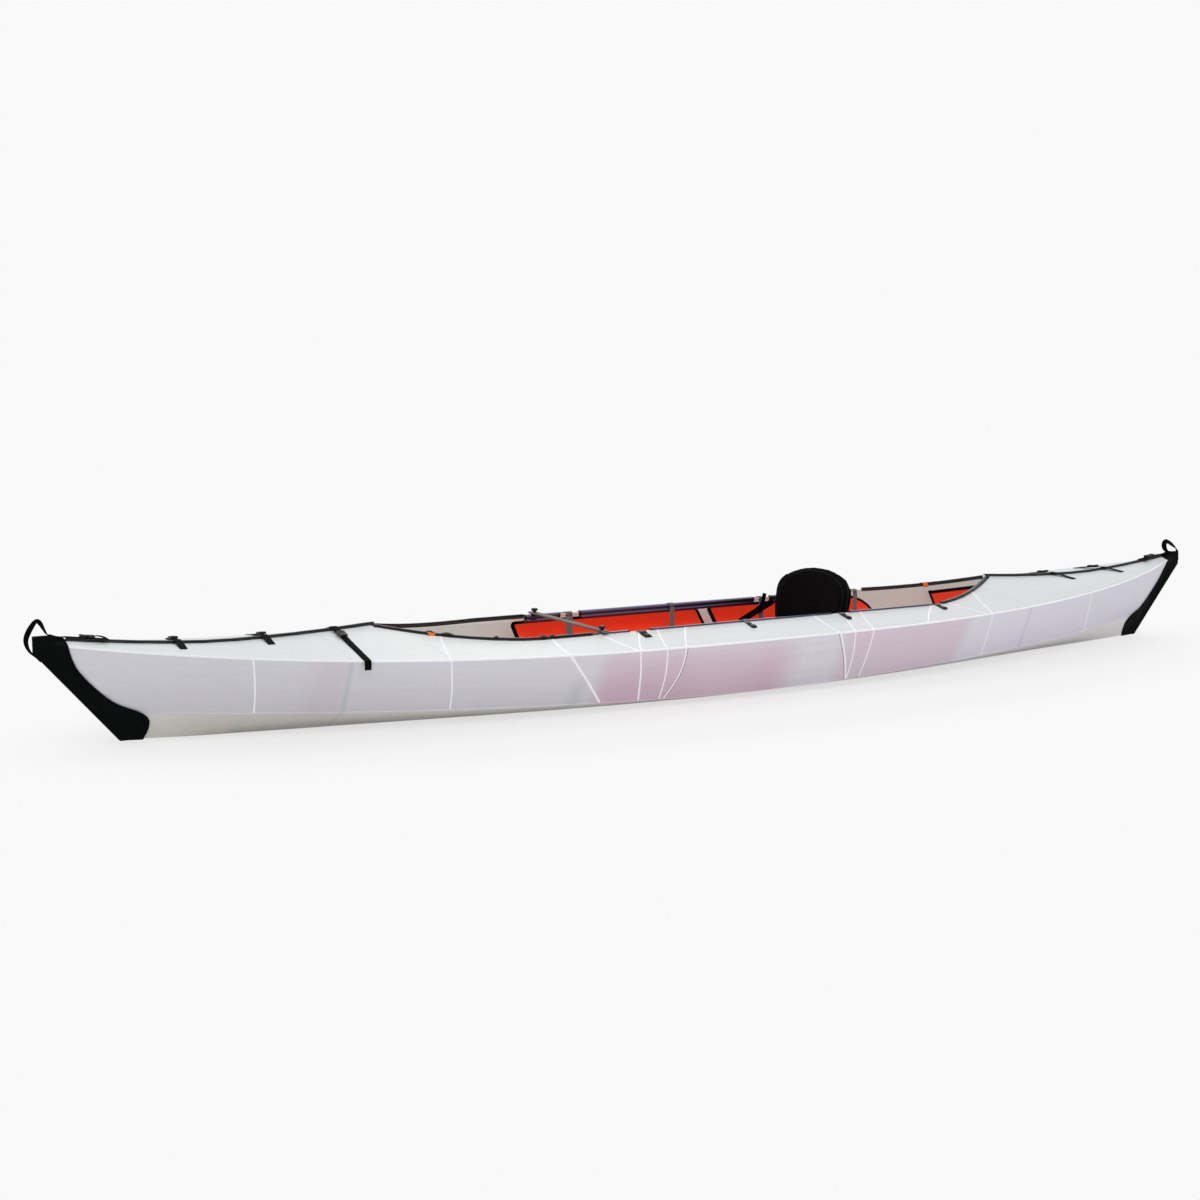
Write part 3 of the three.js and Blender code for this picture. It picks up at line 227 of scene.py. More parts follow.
def sheet_finish(name, outside, aft_shade, glow_tint, cool, flute_axis, glow):
    """Translucent twin-walled plastic with fine flutes along the boat, painted with a highlight near the
    cockpit's fore end, the boards' glow through it, the shade of the bulkheads and of the boards' fore end,
    and a glow on its inner faces.
    """
    finish = Finish(name, roughness=0.42, specular=0.45, coat=0.08)
    x, y, z = finish.split()
    streaks = finish.noise(5.0, (0.08, 9, 9), 5.0)
    base = finish.mix(finish.ramp(streaks, 0.3, 0.7, 0.0, 0.16), colour(outside), WHITE)
    base = finish.mix(finish.ramp(x, -0.9, -0.5), finish.mix(0.5, base, colour(cool)), base)
    base = finish.mix(finish.ramp(x, 0.1, 1.2), base, colour(aft_shade))
    # Painted highlight: the sheet is mixed towards white round x = -1.05, where the deck takes the most
    # light
    sheen = near_plane(finish, x, z, -1.05, 0.0, 0.75)
    base = finish.mix(finish.times(sheen, 0.8 * (1 - glow) ** 2), base, WHITE)
    # Painted light: the boards' colour glowing through the sheet
    base = finish.mix(finish.times(board_glow_through(finish, x, z), glow), base, colour(glow_tint))
    base = finish.mix(finish.times(inner_shade(finish, x, z), 0.4 * glow), base, colour("#98a2b4"))
    normal = finish.split("Normal")
    across = finish.times(normal[1], y)
    upward = finish.times(normal[2], finish.math("SUBTRACT", z, 0.12))
    inside = finish.ramp(finish.math("ADD", across, upward), -0.05, -0.03, 1.0, 0.0)
    # Inner faces: their own colour, and a painted glow that stands for daylight coming through the sheet
    finish.paint(finish.mix(inside, base, colour("#ccc8c4")))
    finish.emit(finish.mix(inside, BLACK, colour("#bdc4c0")), INNER_GLOW)
    finish.bump(finish.wave(62.0, flute_axis), 0.25, 0.25 * MM)
    finish.bump(finish.noise(3.0, (0.4, 6, 6), 4.0), 0.3, 1.2 * MM)
    finish.gloss(streaks, 0.36, 0.52)
    return finish.material


def crease_finish():
    finish = Finish("pressed_crease", roughness=0.3, coat=0.1)
    finish.two_tone(finish.noise(40), "#f0eff6", "#fafafd")
    finish.bump(finish.noise(300), 0.2, 0.1 * MM)
    # Painted highlight: the creases glow white, as their rounded folds do where they catch the light
    finish.emit(WHITE, CREASE_GLOW)
    return finish.material


def crease_shade_finish():
    # Painted shade: a grey line beside a fold, where the fold's gap is in shade
    finish = Finish("crease_shade_line", roughness=0.6)
    finish.two_tone(finish.noise(60), "#8f8a94", "#77727c")
    return finish.material


def rubber_finish():
    finish = Finish("cap_neoprene", roughness=0.85, specular=0.05)
    mottle = finish.noise(30, detail=6)
    finish.two_tone(mottle, "#030404", "#0b0d0d")
    finish.bump(finish.noise(1400, detail=2), 0.35, 0.15 * MM)
    finish.bump(finish.noise(25), 0.35, 1.5 * MM)
    finish.gloss(mottle, 0.62, 0.85)
    return finish.material


def trim_finish(name, dark, light, roughness, specular=0.5):
    """Moulded plastic, or thread."""
    finish = Finish(name, roughness=roughness, specular=specular)
    finish.two_tone(finish.noise(18, (0.3, 3, 3), 4), dark, light)
    finish.bump(finish.noise(700), 0.25, 0.08 * MM)
    finish.gloss(finish.noise(9), roughness - 0.08, roughness + 0.1)
    return finish.material


def metal_finish(finish, grain, dark, light, relief, smooth, rough):
    """Drawn metal with its grain in the relief, the colour and the gloss."""
    finish.two_tone(grain, dark, light)
    finish.bump(grain, relief, 0.1 * MM)
    finish.gloss(grain, smooth, rough)
    return finish.material


def rail_finish():
    finish = Finish("anodised_rail", roughness=0.24, metallic=0.8, specular=0.6, coat=0.4)
    return metal_finish(finish, finish.noise(60, (0.02, 10, 10), 4), "#2e2f4c", "#505174", 0.12, 0.2, 0.32)


def brace_finish():
    finish = Finish("brace_alloy", roughness=0.42, metallic=0.45)
    return metal_finish(finish, finish.noise(40, (8, 0.2, 8), 4), "#585b52", "#74776c", 0.15, 0.34, 0.5)


def webbing_finish(name, dark, light, specular=0.2, sheen=0.06, hook_end=None):
    """Woven tape. Its UV runs in metres, across the tape and along it. hook_end darkens its first end."""
    finish = Finish(name, roughness=0.85, specular=specular, sheen=sheen)
    weave = finish.times(finish.wave(110, "Y", "UV"), finish.wave(160, "X", "UV"))
    shade = finish.two_tone(finish.times(weave, finish.noise(12, detail=4)), dark, light)
    if hook_end:
        length, tone = hook_end
        near_end = finish.ramp(finish.split("UV")[1], length * 0.9, length, 1.0, 0.0)
        finish.paint(finish.mix(near_end, shade, colour(tone)))
    finish.bump(weave, 0.6, 0.35 * MM)
    return finish.material


def board_finish():
    """Orange-red corrugated board, a little bright from the light that comes through it."""
    finish = Finish("orange_board", specular=0.4)
    streaks = finish.noise(14, (0.1, 4, 4), 4)
    finish.emit(finish.two_tone(streaks, "#e32a08", "#ee3a12"), BOARD_GLOW)
    finish.bump(finish.wave(60, "Z"), 0.2, 0.2 * MM)
    finish.gloss(streaks, 0.45, 0.62)
    return finish.material


def cloth_finish(name, dark, light, grain):
    finish = Finish(name, roughness=0.92, specular=0.04, sheen=0.01)
    threads = finish.times(finish.wave(grain, "Y"), finish.wave(grain, "Z"))
    finish.two_tone(finish.times(threads, finish.noise(20, detail=5)), dark, light)
    finish.bump(threads, 0.5, 0.4 * MM)
    finish.bump(finish.noise(45), 0.25, 1.2 * MM)
    return finish.material


# Colours of a sheet's outer face: its own, near the stern, the boards' painted glow through it, and near the
# bow. Then the direction across its flutes, and how much painted light shows through it
SHEETS = {
    "deck": sheet_finish("sheet_deck", "#dde1e2", "#dcdfe1", "#e2d6db", "#dfe3e3", "Y", 0.2),
    "side": sheet_finish("sheet_side", "#e1dde8", "#eae7f4", "#d7a3ba", "#d6d6db", "Z", 0.68),
    "bilge": sheet_finish("sheet_bilge", "#d9d5ce", "#f3f1f0", "#e1c3c4", "#dfdbd3", "Y", 0.6),
}
CREASE = crease_finish()
CREASE_SHADE = crease_shade_finish()
RUBBER = rubber_finish()
TRIM = trim_finish("edge_trim", "#08090b", "#111316", 0.3, 0.4)
PLASTIC = trim_finish("black_plastic", "#060708", "#0f1012", 0.36, 0.3)
RAIL = rail_finish()
GREY_TAPE = webbing_finish("grey_webbing", "#6c6e6f", "#9b9d9e", hook_end=(46 * MM, "#1d1e1f"))
BLACK_TAPE = webbing_finish("black_webbing", "#050606", "#121314", 0.05, 0.01)
ORANGE_TAPE = webbing_finish("orange_webbing", "#e87a20", "#fb9a3c")
BOARD = board_finish()
BINDING = cloth_finish("binding_tape", "#08090a", "#17181a", 300)
CUSHION = cloth_finish("cushion_cloth", "#060707", "#111212", 190)
PIPING = cloth_finish("piping_cloth", "#18191a", "#303234", 400)
THREAD = trim_finish("stitch_thread", "#2a2c2d", "#3c3f41", 0.7)
BRACE = brace_finish()


# Geometry helpers

SHARP_ANGLE = math.radians(28)
BEVEL_ANGLE = math.radians(35)
WELD = 0.01 * MM


def smooth_group():
    """Geometry nodes that join a mesh's loose corners and shade it smooth, but for edges over an angle."""
    group = bpy.data.node_groups.new("smooth_but_edges", "GeometryNodeTree")
    for way in ("INPUT", "OUTPUT"):
        group.interface.new_socket("Geometry", in_out=way, socket_type="NodeSocketGeometry")
    graph = Graph(group)
    whole = graph.node("NodeGroupInput").outputs[0]
    joined = graph.node("GeometryNodeMergeByDistance", Geometry=whole, Distance=WELD).outputs[0]
    soft = graph.node("GeometryNodeSetShadeSmooth", Geometry=joined).outputs[0]
    angle = graph.node("GeometryNodeInputMeshEdgeAngle").outputs[0]
    sharp = graph.node("FunctionNodeCompare", A=angle, B=SHARP_ANGLE).outputs[0]
    hard = graph.node("GeometryNodeSetShadeSmooth", Geometry=soft, Selection=sharp, Shade_Smooth=False)
    hard.domain = "EDGE"
    graph.feed(hard.outputs[0], graph.node("NodeGroupOutput").inputs[0])
    return group


SMOOTH = smooth_group()


def soften(obj, bevel=0.0, segments=2):
    """Rounds an object's sharp edges by a bevel, and shades the rest of it smooth."""
    if bevel:
        obj.modifiers.new("weld", "WELD").merge_threshold = WELD
        modifier = obj.modifiers.new("edges", "BEVEL")
        modifier.width = bevel
        modifier.segments = segments
        modifier.limit_method = "ANGLE"
        modifier.angle_limit = BEVEL_ANGLE
    obj.modifiers.new("smooth", "NODES").node_group = SMOOTH


def add_object(name, data):
    obj = bpy.data.objects.new(name, data)
    bpy.context.scene.collection.objects.link(obj)
    return obj


def piece(name, vertices, faces, material, uvs=None, bevel=0.0):
    """A mesh object made from its vertices and faces, riding on the hull."""
    mesh = bpy.data.meshes.new(name)
    mesh.from_pydata([tuple(v) for v in vertices], [], faces)
    if uvs is not None:
        layer = mesh.uv_layers.new(name="weave")
        for loop in mesh.loops:
            layer.data[loop.index].uv = uvs[loop.vertex_index]
    work = bmesh.new()
    work.from_mesh(mesh)
    bmesh.ops.recalc_face_normals(work, faces=work.faces)
    work.to_mesh(mesh)
    work.free()
    obj = add_object(name, mesh)
    mesh.materials.append(material)
    soften(obj, bevel)
    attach(obj, "hull")
    return obj


def ring_faces(rows, count, wrap=False):
    """Faces of a skin through rows of rings of count points, with end faces or wrapped round on itself."""
    faces = []
    for row in range(rows if wrap else rows - 1):
        low, high = row * count, (row + 1) % rows * count
        for column in range(count):
            beside = (column + 1) % count
            faces.append((low + column, low + beside, high + beside, high + column))
    if not wrap:
        faces += [tuple(range(count)), tuple(range((rows - 1) * count, rows * count))]
    return faces


def spaced(low, high, steps):
    """Values from low to high in equal steps."""
    return [low + (high - low) * step / steps for step in range(steps + 1)]


def tangents(points):
    before, after = [points[0]] + points[:-1], points[1:] + [points[-1]]
    return [(b - a).normalized() for a, b in zip(before, after)]


def curved(points, steps):
    """Points of a smooth curve through a few given ones, with a number of steps between two of them."""
    result = []
    ends = [points[0]] + points + [points[-1]]
    for a, b, c, d in zip(ends, ends[1:], ends[2:], ends[3:]):
        bend, twist = 2 * a - 5 * b + 4 * c - d, 3 * b - a - 3 * c + d
        for step in range(steps):
            t = step / steps
            result.append(0.5 * (2 * b + (c - a) * t + bend * t ** 2 + twist * t ** 3))
    result.append(points[-1])
    return result


# Section of a tape with soft edges, in shares of its width and thickness
TAPE_SECTION = [
    (-0.5, 0.15), (-0.46, 0.0), (0.46, 0.0), (0.5, 0.15),
    (0.5, 0.85), (0.46, 1.0), (-0.46, 1.0), (-0.5, 0.85),
]


# Width and thickness of the tapes
TAPES = {
    "hem": (13 * MM, 1.2 * MM), "nose": (18 * MM, 1.8 * MM), "nose_tail": (15 * MM, 1.6 * MM),
    "seat": (26 * MM, 1.9 * MM), "seat_tail": (18 * MM, 1.7 * MM), "seat_anchor": (22 * MM, 1.6 * MM),
    "tab": (24 * MM, 2.2 * MM),
}


def band(name, points, normals, width, thickness, material=BLACK_TAPE, slot="strap_webbing"):
    """Tape along points, flat on the side that its normals leave."""
    vertices, uvs, along = [], [], 0.0
    for index, (point, tangent) in enumerate(zip(points, tangents(points))):
        if index:
            along += (point - points[index - 1]).length
        side = tangent.cross(normals[index]).normalized()
        up = side.cross(tangent).normalized()
        for across, height in TAPE_SECTION:
            vertices.append(point + side * across * width + up * height * thickness)
            uvs.append((across * width, along))
    return piece(name, vertices, ring_faces(len(points), len(TAPE_SECTION)), material, uvs)


def make_piping(name, points, radius, body):
    """A round cord along a closed line on a cushion."""
    curve = bpy.data.curves.new(name, "CURVE")
    curve.dimensions = "3D"
    curve.bevel_depth = radius
    curve.bevel_resolution = 1
    curve.use_fill_caps = True
    spline = curve.splines.new("POLY")
    spline.points.add(len(points) - 1)
    for target, point in zip(spline.points, points):
        target.co = (*point, 1)
    spline.use_cyclic_u = True
    obj = add_object(name, curve)
    curve.materials.append(PIPING)
    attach(obj, body)


def plate(name, outline, origin, along, across, thickness, bevel):
    """A flat moulded outline, drawn along two directions from an origin, with a thickness."""
    up = along.cross(across).normalized()
    low = [origin + along * x + across * y for x, y in outline]
    vertices = low + [point + up * thickness for point in low]
    piece(name, vertices, ring_faces(2, len(outline)), PLASTIC, bevel=bevel)


def node_arrays(node):
    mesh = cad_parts[node].data
    points = np.empty(len(mesh.vertices) * 3)
    mesh.vertices.foreach_get("co", points)
    edges = np.empty(len(mesh.edges) * 2, int)
    mesh.edges.foreach_get("vertices", edges)
    return points.reshape(-1, 3), edges.reshape(-1, 2)


ARRAYS = {node: node_arrays(node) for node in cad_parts}


def crossings(node, place, axis=0):
    """Points where the edges of a CAD node cross the plane at a place on an axis."""
    points, edges = ARRAYS[node]
    first, second = points[edges[:, 0]], points[edges[:, 1]]
    cut = (first[:, axis] < place) != (second[:, axis] < place)
    first, second = first[cut], second[cut]
    share = (place - first[:, axis]) / (second[:, axis] - first[:, axis])
    return first + share[:, None] * (second - first)


def both_sides(*stems):
    return [f"{stem}_{side}" for stem in stems for side in SIDES]


def on_side(side, *stems):
    return [f"{stem}_{side}" for stem in stems]


# Long edges of the hull: the panels that have it, and weights that find it outboard and upward on them
EDGES = {
    "rim": (DECKS, -1, 1), "deck_edge": (DECKS, 1, -0.2), "side_top": (("side_panel",), 0.4, 1),
    "side_foot": (("side_panel",), 0.5, -1), "bilge_top": (BILGES, 1, 0.5), "bilge_foot": (BILGES, -0.3, -1),
}


def edge_point(edge, x, side):
    """The point of one of the hull's long edges at x."""
    stems, outboard, upward = EDGES[edge]
    found = np.concatenate([crossings(node, x) for node in on_side(side, *stems)])
    return Vector(found[np.argmax(np.abs(found[:, 1]) * outboard + found[:, 2] * upward)])


def surface(*nodes):
    """A tree for finding points on several CAD nodes at once."""
    vertices, faces = [], []
    for node in nodes:
        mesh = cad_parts[node].data
        start = len(vertices)
        vertices += [v.co.copy() for v in mesh.vertices]
        faces += [[start + index for index in polygon.vertices] for polygon in mesh.polygons]
    return BVHTree.FromPolygons(vertices, faces)


def nearest(tree, point):
    """The place on a surface that is nearest to a point, and the normal there."""
    return tree.find_nearest(point)[:2]


def under(tree, x, y):
    """Where a ray that falls from above the boat meets a surface, and the normal there."""
    return tree.ray_cast(Vector((x, y, 1)), -UP)[:2]


def dress(nodes, material, bevel, segments=2):
    """Gives CAD nodes a material and soft edges."""
    for name in nodes:
        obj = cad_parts[name]
        obj.data.materials.clear()
        obj.data.materials.append(material)
        soften(obj, bevel, segments)


def face_loop(node, direction):
    """The outline of a CAD node's flat face that looks in a direction, in order."""
    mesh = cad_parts[node].data
    work = bmesh.new()
    work.from_mesh(mesh)
    bmesh.ops.remove_doubles(work, verts=work.verts, dist=0.02 * MM)
    work.normal_update()
    facing = [face for face in work.faces if face.normal.dot(direction) > 0.98]
    reach = max(face.calc_center_median().dot(direction) for face in facing)
    facing = {face for face in facing if face.calc_center_median().dot(direction) > reach - 2 * MM}
    follow = {}
    for face in facing:
        for loop in face.loops:
            if not any(other in facing and other != face for other in loop.edge.link_faces):
                follow[loop.vert] = loop.link_loop_next.vert
    start = min(follow, key=lambda corner: tuple(corner.co))  # the set's own order changes from run to run
    points, here = [start.co.copy()], follow[start]
    while here != start:
        points.append(here.co.copy())
        here = follow[here]
    work.free()
    return points


def strip_line(node, direction):
    """The middle line of a strip of even thickness, from the outline of the face on its edge."""
    loop = face_loop(node, direction)
    count = len(loop)
    lengths = [(loop[i] - loop[(i + 1) % count]).length for i in range(count)]
    ends = sorted(range(count), key=lambda i: lengths[i])
    first = ends[0]
    second = next(i for i in ends[1:] if abs((i - first) % count - count // 2) <= 1)
    half = (second - first) % count
    near = [loop[(first + 1 + i) % count] for i in range(half)]
    far = [loop[(first - i) % count] for i in range(count - half)]
    steps = min(len(near), len(far))
    return [(a + b) / 2 for a, b in zip(near[:steps], far[:steps])]


# Hull sheet and its pressed creases

SHEET_EDGE = 0.8 * MM
CREASE_HALF = 5.5 * MM
CREASE_RISE = 0.5 * MM
CREASE_SHADE_RISE = 0.8 * CREASE_RISE
CREASE_STEPS = 100
SHEER_REACH = 2.37
CHINE_REACH = 2.19
DECK_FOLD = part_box("side_deck_port")[1].x
FOLD_GAP = 2 * MM
DECK_BOW = -4 * MM


def dress_hull():
    dress(both_sides(*DECKS), SHEETS["deck"], SHEET_EDGE)
    dress(both_sides("side_panel"), SHEETS["side"], SHEET_EDGE)
    dress(both_sides(*BILGES) + ["hull_floor"], SHEETS["bilge"], SHEET_EDGE)


def clear_of_fold(x):
    """x, moved off the place where two deck panels meet end to end."""
    return x if abs(abs(x) - DECK_FOLD) > FOLD_GAP else math.copysign(DECK_FOLD - FOLD_GAP, x)


def crease_band(name, side, reach, edges, half, material):
    """A line pressed along a crease. It takes the crease's edges on two panels and the panels' far edges."""
    rows = []
    for place in spaced(-reach, reach, CREASE_STEPS):
        x = clear_of_fold(place)
        a, b, above, below = [edge_point(edge, x, side) for edge in edges]
        up, down = (above - a).normalized(), (below - b).normalized()
        outward = -(up + down).normalized()
        rise = outward * CREASE_RISE
        rows += [a + up * half, a + up * half + rise, (a + b) / 2 + outward * 1.5 * MM,
                 b + down * half + rise, b + down * half]
    piece(name, rows, ring_faces(CREASE_STEPS + 1, 5), material)


def make_creases():
    sheer = ("deck_edge", "side_top", "rim", "side_foot")
    chine = ("side_foot", "bilge_top", "side_top", "bilge_foot")
    for side in SIDES:
        crease_band(f"sheer_crease_{side}", side, SHEER_REACH, sheer, CREASE_HALF, CREASE)
        crease_band(f"chine_crease_{side}", side, CHINE_REACH, chine, CREASE_HALF / 2, SHEETS["side"])


# Cross folds: places at the rim, the sheer and the chine along the boat in metres, and in millimetres a
# width and how far the line on the side panel bows towards the stern
FOLDS = [
    (None, -1.846, -1.812, 5, 5), (-1.159, -1.232, -1.187, 5, 5), (-0.806, -0.815, -0.651, 8, 4),
    (-0.619, -0.556, None, 8, 0), (-0.459, -0.549, -0.504, 6, 5), (-0.386, -0.444, -0.422, 5, 11),
    (-0.270, -0.367, -0.403, 5, 20), (0.288, 0.289, 0.387, 6, 8), (0.423, 0.359, 0.391, 5, 9),
    (0.503, 0.444, 0.450, 5, 7), (0.847, 0.702, None, 5, 0), (0.941, 1.014, None, 5, 0),
    (1.156, 1.039, 1.087, 5, 4), (1.746, 1.650, 1.762, 5, 4),
]
# Painted shade lines beside two folds, in the same columns
SHADED_FOLDS = [(None, -0.361, -0.397, 2.0, 20), (None, 0.282, 0.380, 2.0, 8)]
FOLD_STEPS = 14


def fold_line(name, ends, tree, width, material, bow):
    """A line across one panel, on the panel's outer face, bowed a little along the boat: a pressed crease,
    or a painted shade line beside one.
    """
    points, normals = [], []
    for step in range(1, FOLD_STEPS):
        share = step / FOLD_STEPS
        guess = ends[0].lerp(ends[1], share)
        guess.x += bow * math.sin(math.pi * share)
        place, normal = nearest(tree, guess)
        points.append(place)
        normals.append(normal)
    points = [points[0] * 2 - points[1]] + points + [points[-1] * 2 - points[-2]]
    normals = [normals[0]] + normals + [normals[-1]]
    rise = CREASE_RISE if material is CREASE else CREASE_SHADE_RISE
    band(name, points, normals, width, rise, material, "hull_sheet")


def make_folds():
    outer = {side: surface(*on_side(side, "side_panel", *DECKS)) for side in SIDES}
    for material, table in ((CREASE, FOLDS), (CREASE_SHADE, SHADED_FOLDS)):
        for number, (rim, sheer, chine, width, bow) in enumerate(table):
            for side, tree in outer.items():
                title = f"{material.name}_{number + 1}_{side}"
                if rim is not None:
                    ends = edge_point("rim", rim, side), edge_point("deck_edge", sheer, side)
                    fold_line(f"{title}_deck", ends, tree, width * MM, material, DECK_BOW)
                if chine is not None:
                    ends = edge_point("side_top", sheer, side), edge_point("side_foot", chine, side)
                    fold_line(f"{title}_side", ends, tree, width * MM, material, bow * MM)


# Stem caps, trims and rails

def cap_edge(end, side):
    """The inboard edge of a stem cap on one side, from its foot to its top."""
    node = f"{end}_cap"
    heights = ARRAYS[node][0][:, 2]
    path = []
    for z in spaced(heights.min() + 4 * MM, heights.max() - 4 * MM, 34):
        found = crossings(node, z, axis=2)
        found = found[found[:, 1] * SIDES[side] > 0]
        if len(found):
            inmost = np.abs(found[:, 0]).min()
            found = found[np.abs(found[:, 0]) < inmost + 2.5 * MM]
            path.append(Vector(found[np.argmax(np.abs(found[:, 1]))]))
    return path


def make_cap_hems():
    """A folded band and a line of stitches along each cap's inboard edge."""
    for end, way in ENDS.items():
        tree = surface(f"{end}_cap")
        onto_cap = Vector((way * 7 * MM, 0, 0))
        for side in SIDES:
            points, normals, stitches = [], [], []
            for point in cap_edge(end, side):
                place, normal = nearest(tree, point + onto_cap)
                points.append(place)
                normals.append(normal)
                seam, out = nearest(tree, point + onto_cap * 1.9)
                stitches.append(seam + out * 0.5 * MM)
            band(f"{end}_cap_hem_{side}", points, normals, *TAPES["hem"], BINDING, "cap_rubber")
            make_stitches(f"{end}_cap_stitches_{side}", stitches)


STITCH_RADIUS = 0.45 * MM


def make_stitches(name, path, length=4 * MM, gap=2.2 * MM):
    """Short threads along a path, each a small six-sided rod."""
    vertices, faces, along = [], [], 0.0
    for start, end in zip(path, path[1:]):
        span = (end - start).length
        while along < span - length:
            ends = [start.lerp(end, place / span) for place in (along, along + length)]
            direction = (ends[1] - ends[0]).normalized()
            side = direction.orthogonal().normalized()
            other = direction.cross(side)
            faces += [tuple(len(vertices) + i for i in face) for face in ring_faces(2, 6)]
            for centre in ends:
                for turn in range(6):
                    angle = turn * math.pi / 3
                    across = side * STITCH_RADIUS * math.cos(angle)
                    vertices.append(centre + across + other * STITCH_RADIUS * math.sin(angle))
            along += length + gap
        along = max(along - span, 0.0)
    piece(name, vertices, faces, THREAD)


def dress_fittings():
    dress(["bow_cap", "stern_cap"], RUBBER, 1.2 * MM, 3)
    dress([*SEAMS, *both_sides("cockpit_trim_bow", "cockpit_trim_stern")], TRIM, 0.5 * MM)
    dress(both_sides(*RAILS), RAIL, 0.4 * MM)
    dress(["brace_bar"], BRACE, 0.5 * MM)
    dress(both_sides("brace_knob"), PLASTIC, 0.5 * MM, 3)


WELT_HEIGHT = 4.5 * MM
WELT_WIDTH = 11 * MM
PEAK_LAP = 10 * MM


def make_trim_welts():
    """The rounded welt that stands on the seam trims and on the cockpit's trims."""
    runs = [(node, node) for node in SEAMS]
    runs += [(f"{end}_trim_{side}", f"cockpit_trim_{end}_{side}") for end in ENDS for side in SIDES]
    for label, node in runs:
        low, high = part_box(node)
        path = []
        for x in spaced(low.x + MM, high.x - MM, 44):
            found = crossings(node, x)
            top = found[found[:, 2] > found[:, 2].max() - 0.8 * MM]
            path.append(Vector((x, top[:, 1].mean(), top[:, 2].max() - 0.4 * MM)))
        if node in SEAMS:
            if node == "stern_seam_trim":
                path.reverse()
            path.append(path[-1] + (path[-1] - path[-2]).normalized() * PEAK_LAP)
        band(f"{label}_welt", path, [UP] * len(path), WELT_WIDTH, WELT_HEIGHT, TRIM, "edge_trim")


# Rings of a plug in a rail's end: their size as a share of the rail's, and how far out they stand
PLUG_RINGS = ((1.0, 0.0), (1.0, 4.5 * MM), (0.93, 6 * MM))


def make_rail_plugs():
    """A moulded plug in each end of each rail."""
    for node in both_sides(*RAILS):
        for label, way in ENDS.items():
            outward = AFT * way
            outline = face_loop(node, outward)
            centre = sum(outline, Vector()) / len(outline)
            rows = []
            for size, push in PLUG_RINGS:
                rows += [centre + (p - centre) * size + outward * push for p in outline]
            piece(f"{node}_plug_{label}", rows, ring_faces(3, len(outline)), PLASTIC)


# Clips over the gunwale

HOOK_LENGTH = 26 * MM
HOOK_WIDTH = 22 * MM
HOOK_HEIGHT = 6 * MM
DECK_LIFT = 0.6 * MM
CLIP_WIDTHS = (30 * MM, 21 * MM, 21 * MM, 21 * MM)


def rounded_outline(length, width, radius, steps=4):
    points = []
    for turn, (x, y) in enumerate(((1, 1), (-1, 1), (-1, -1), (1, -1))):
        for step in range(steps + 1):
            angle = math.pi / 2 * (turn + step / steps)
            points.append((x * (length / 2 - radius) + radius * math.cos(angle),
                           y * (width / 2 - radius) + radius * math.sin(angle)))
    return points


def above_deck(point, deck):
    """The point, lifted clear of the deck where it would dip into it."""
    hit, _ = under(deck, point.x, point.y)
    if hit is None or point.z < hit.z - 15 * MM or point.z > hit.z + DECK_LIFT:
        return point
    return Vector((point.x, point.y, hit.z + DECK_LIFT))


def clip_path(deck, sign, low, high):
    """Points along a clip's webbing, from its hook on the deck over the rail and down inside the boat."""
    x = (low.x + high.x) / 2
    inner, outer = sorted((abs(low.y), abs(high.y)))
    path = []
    for y in (outer - 2 * MM, outer - 16 * MM, outer - 30 * MM, inner + 32 * MM):
        place, normal = under(deck, x, sign * y)
        path.append(place + normal * DECK_LIFT)
    top, wall = high.z - 1.6 * MM, inner + 0.4 * MM
    rise = max(top - 9 * MM, path[-1].z + 2.5 * MM)
    over_rail = [
        (inner + 24.5 * MM, rise), (inner + 19 * MM, top - 1 * MM), (inner + 11 * MM, top),
        (inner + 3.4 * MM, top - 2.5 * MM), (wall, top - 10 * MM), (wall, top - 50 * MM),
        (wall, low.z + 1 * MM),
    ]
    path += [Vector((x, sign * y, z)) for y, z in over_rail]
    return [above_deck(point, deck) for point in curved(path, 5)]


def make_clips():
    """Webbing over the gunwale, from a hook on the deck down to the floorboard's wing."""
    for side, sign in SIDES.items():
        deck = surface(*on_side(side, *DECKS))
        for number, width in enumerate(CLIP_WIDTHS, 1):
            node = f"rail_clip_{side}_{number}"
            low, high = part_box(node)
            path = clip_path(deck, sign, low, high)
            normals = [AFT.cross(tangent) * -sign for tangent in tangents(path)]
            for index, normal in enumerate(normals):
                over_rail = path[index].z >= high.z - 13.6 * MM
                if over_rail and normal.dot(Vector((0, sign * 0.2, 1))) <= 0:
                    normals[index] = -normal
            name = f"clip_webbing_{side}_{number}"
            tape = band(name, path, normals, width, 1.7 * MM, GREY_TAPE, "clip_webbing")
            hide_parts(node)
            reach = max(abs(low.y), abs(high.y)) - 12 * MM
            make_hook(f"clip_hook_{side}_{number}", deck, (low.x + high.x) / 2, sign * reach, sign)


def make_hook(name, deck, x, y, sign):
    """A moulded hook on the deck: a rounded plate with a raised rib."""
    place, normal = under(deck, x, y)
    across = normal.cross(AFT).normalized()
    along = across.cross(normal).normalized()
    origin = place + normal * 2.4 * MM
    outline = rounded_outline(HOOK_WIDTH, HOOK_LENGTH, 7 * MM)
    plate(f"{name}_plate", outline, origin, along, across, HOOK_HEIGHT * 0.55, 1.0 * MM)
    outline = rounded_outline(HOOK_WIDTH * 0.8, 5 * MM, 2 * MM)
    origin += across * 6 * MM * sign
    plate(f"{name}_rib", outline, origin, along, across, HOOK_HEIGHT, 0.8 * MM)


# Straps over the end decks

STRAP_WIDTH = 23 * MM
STRAP_THICK = 1.8 * MM
STRAP_STEPS = 40
STRAP_BUCKLES = {
    "bow_deck_strap_1": 68, "bow_deck_strap_2": 44, "bow_deck_strap_3": -84, "stern_deck_strap_1": 50,
    "stern_deck_strap_2": 48,
}
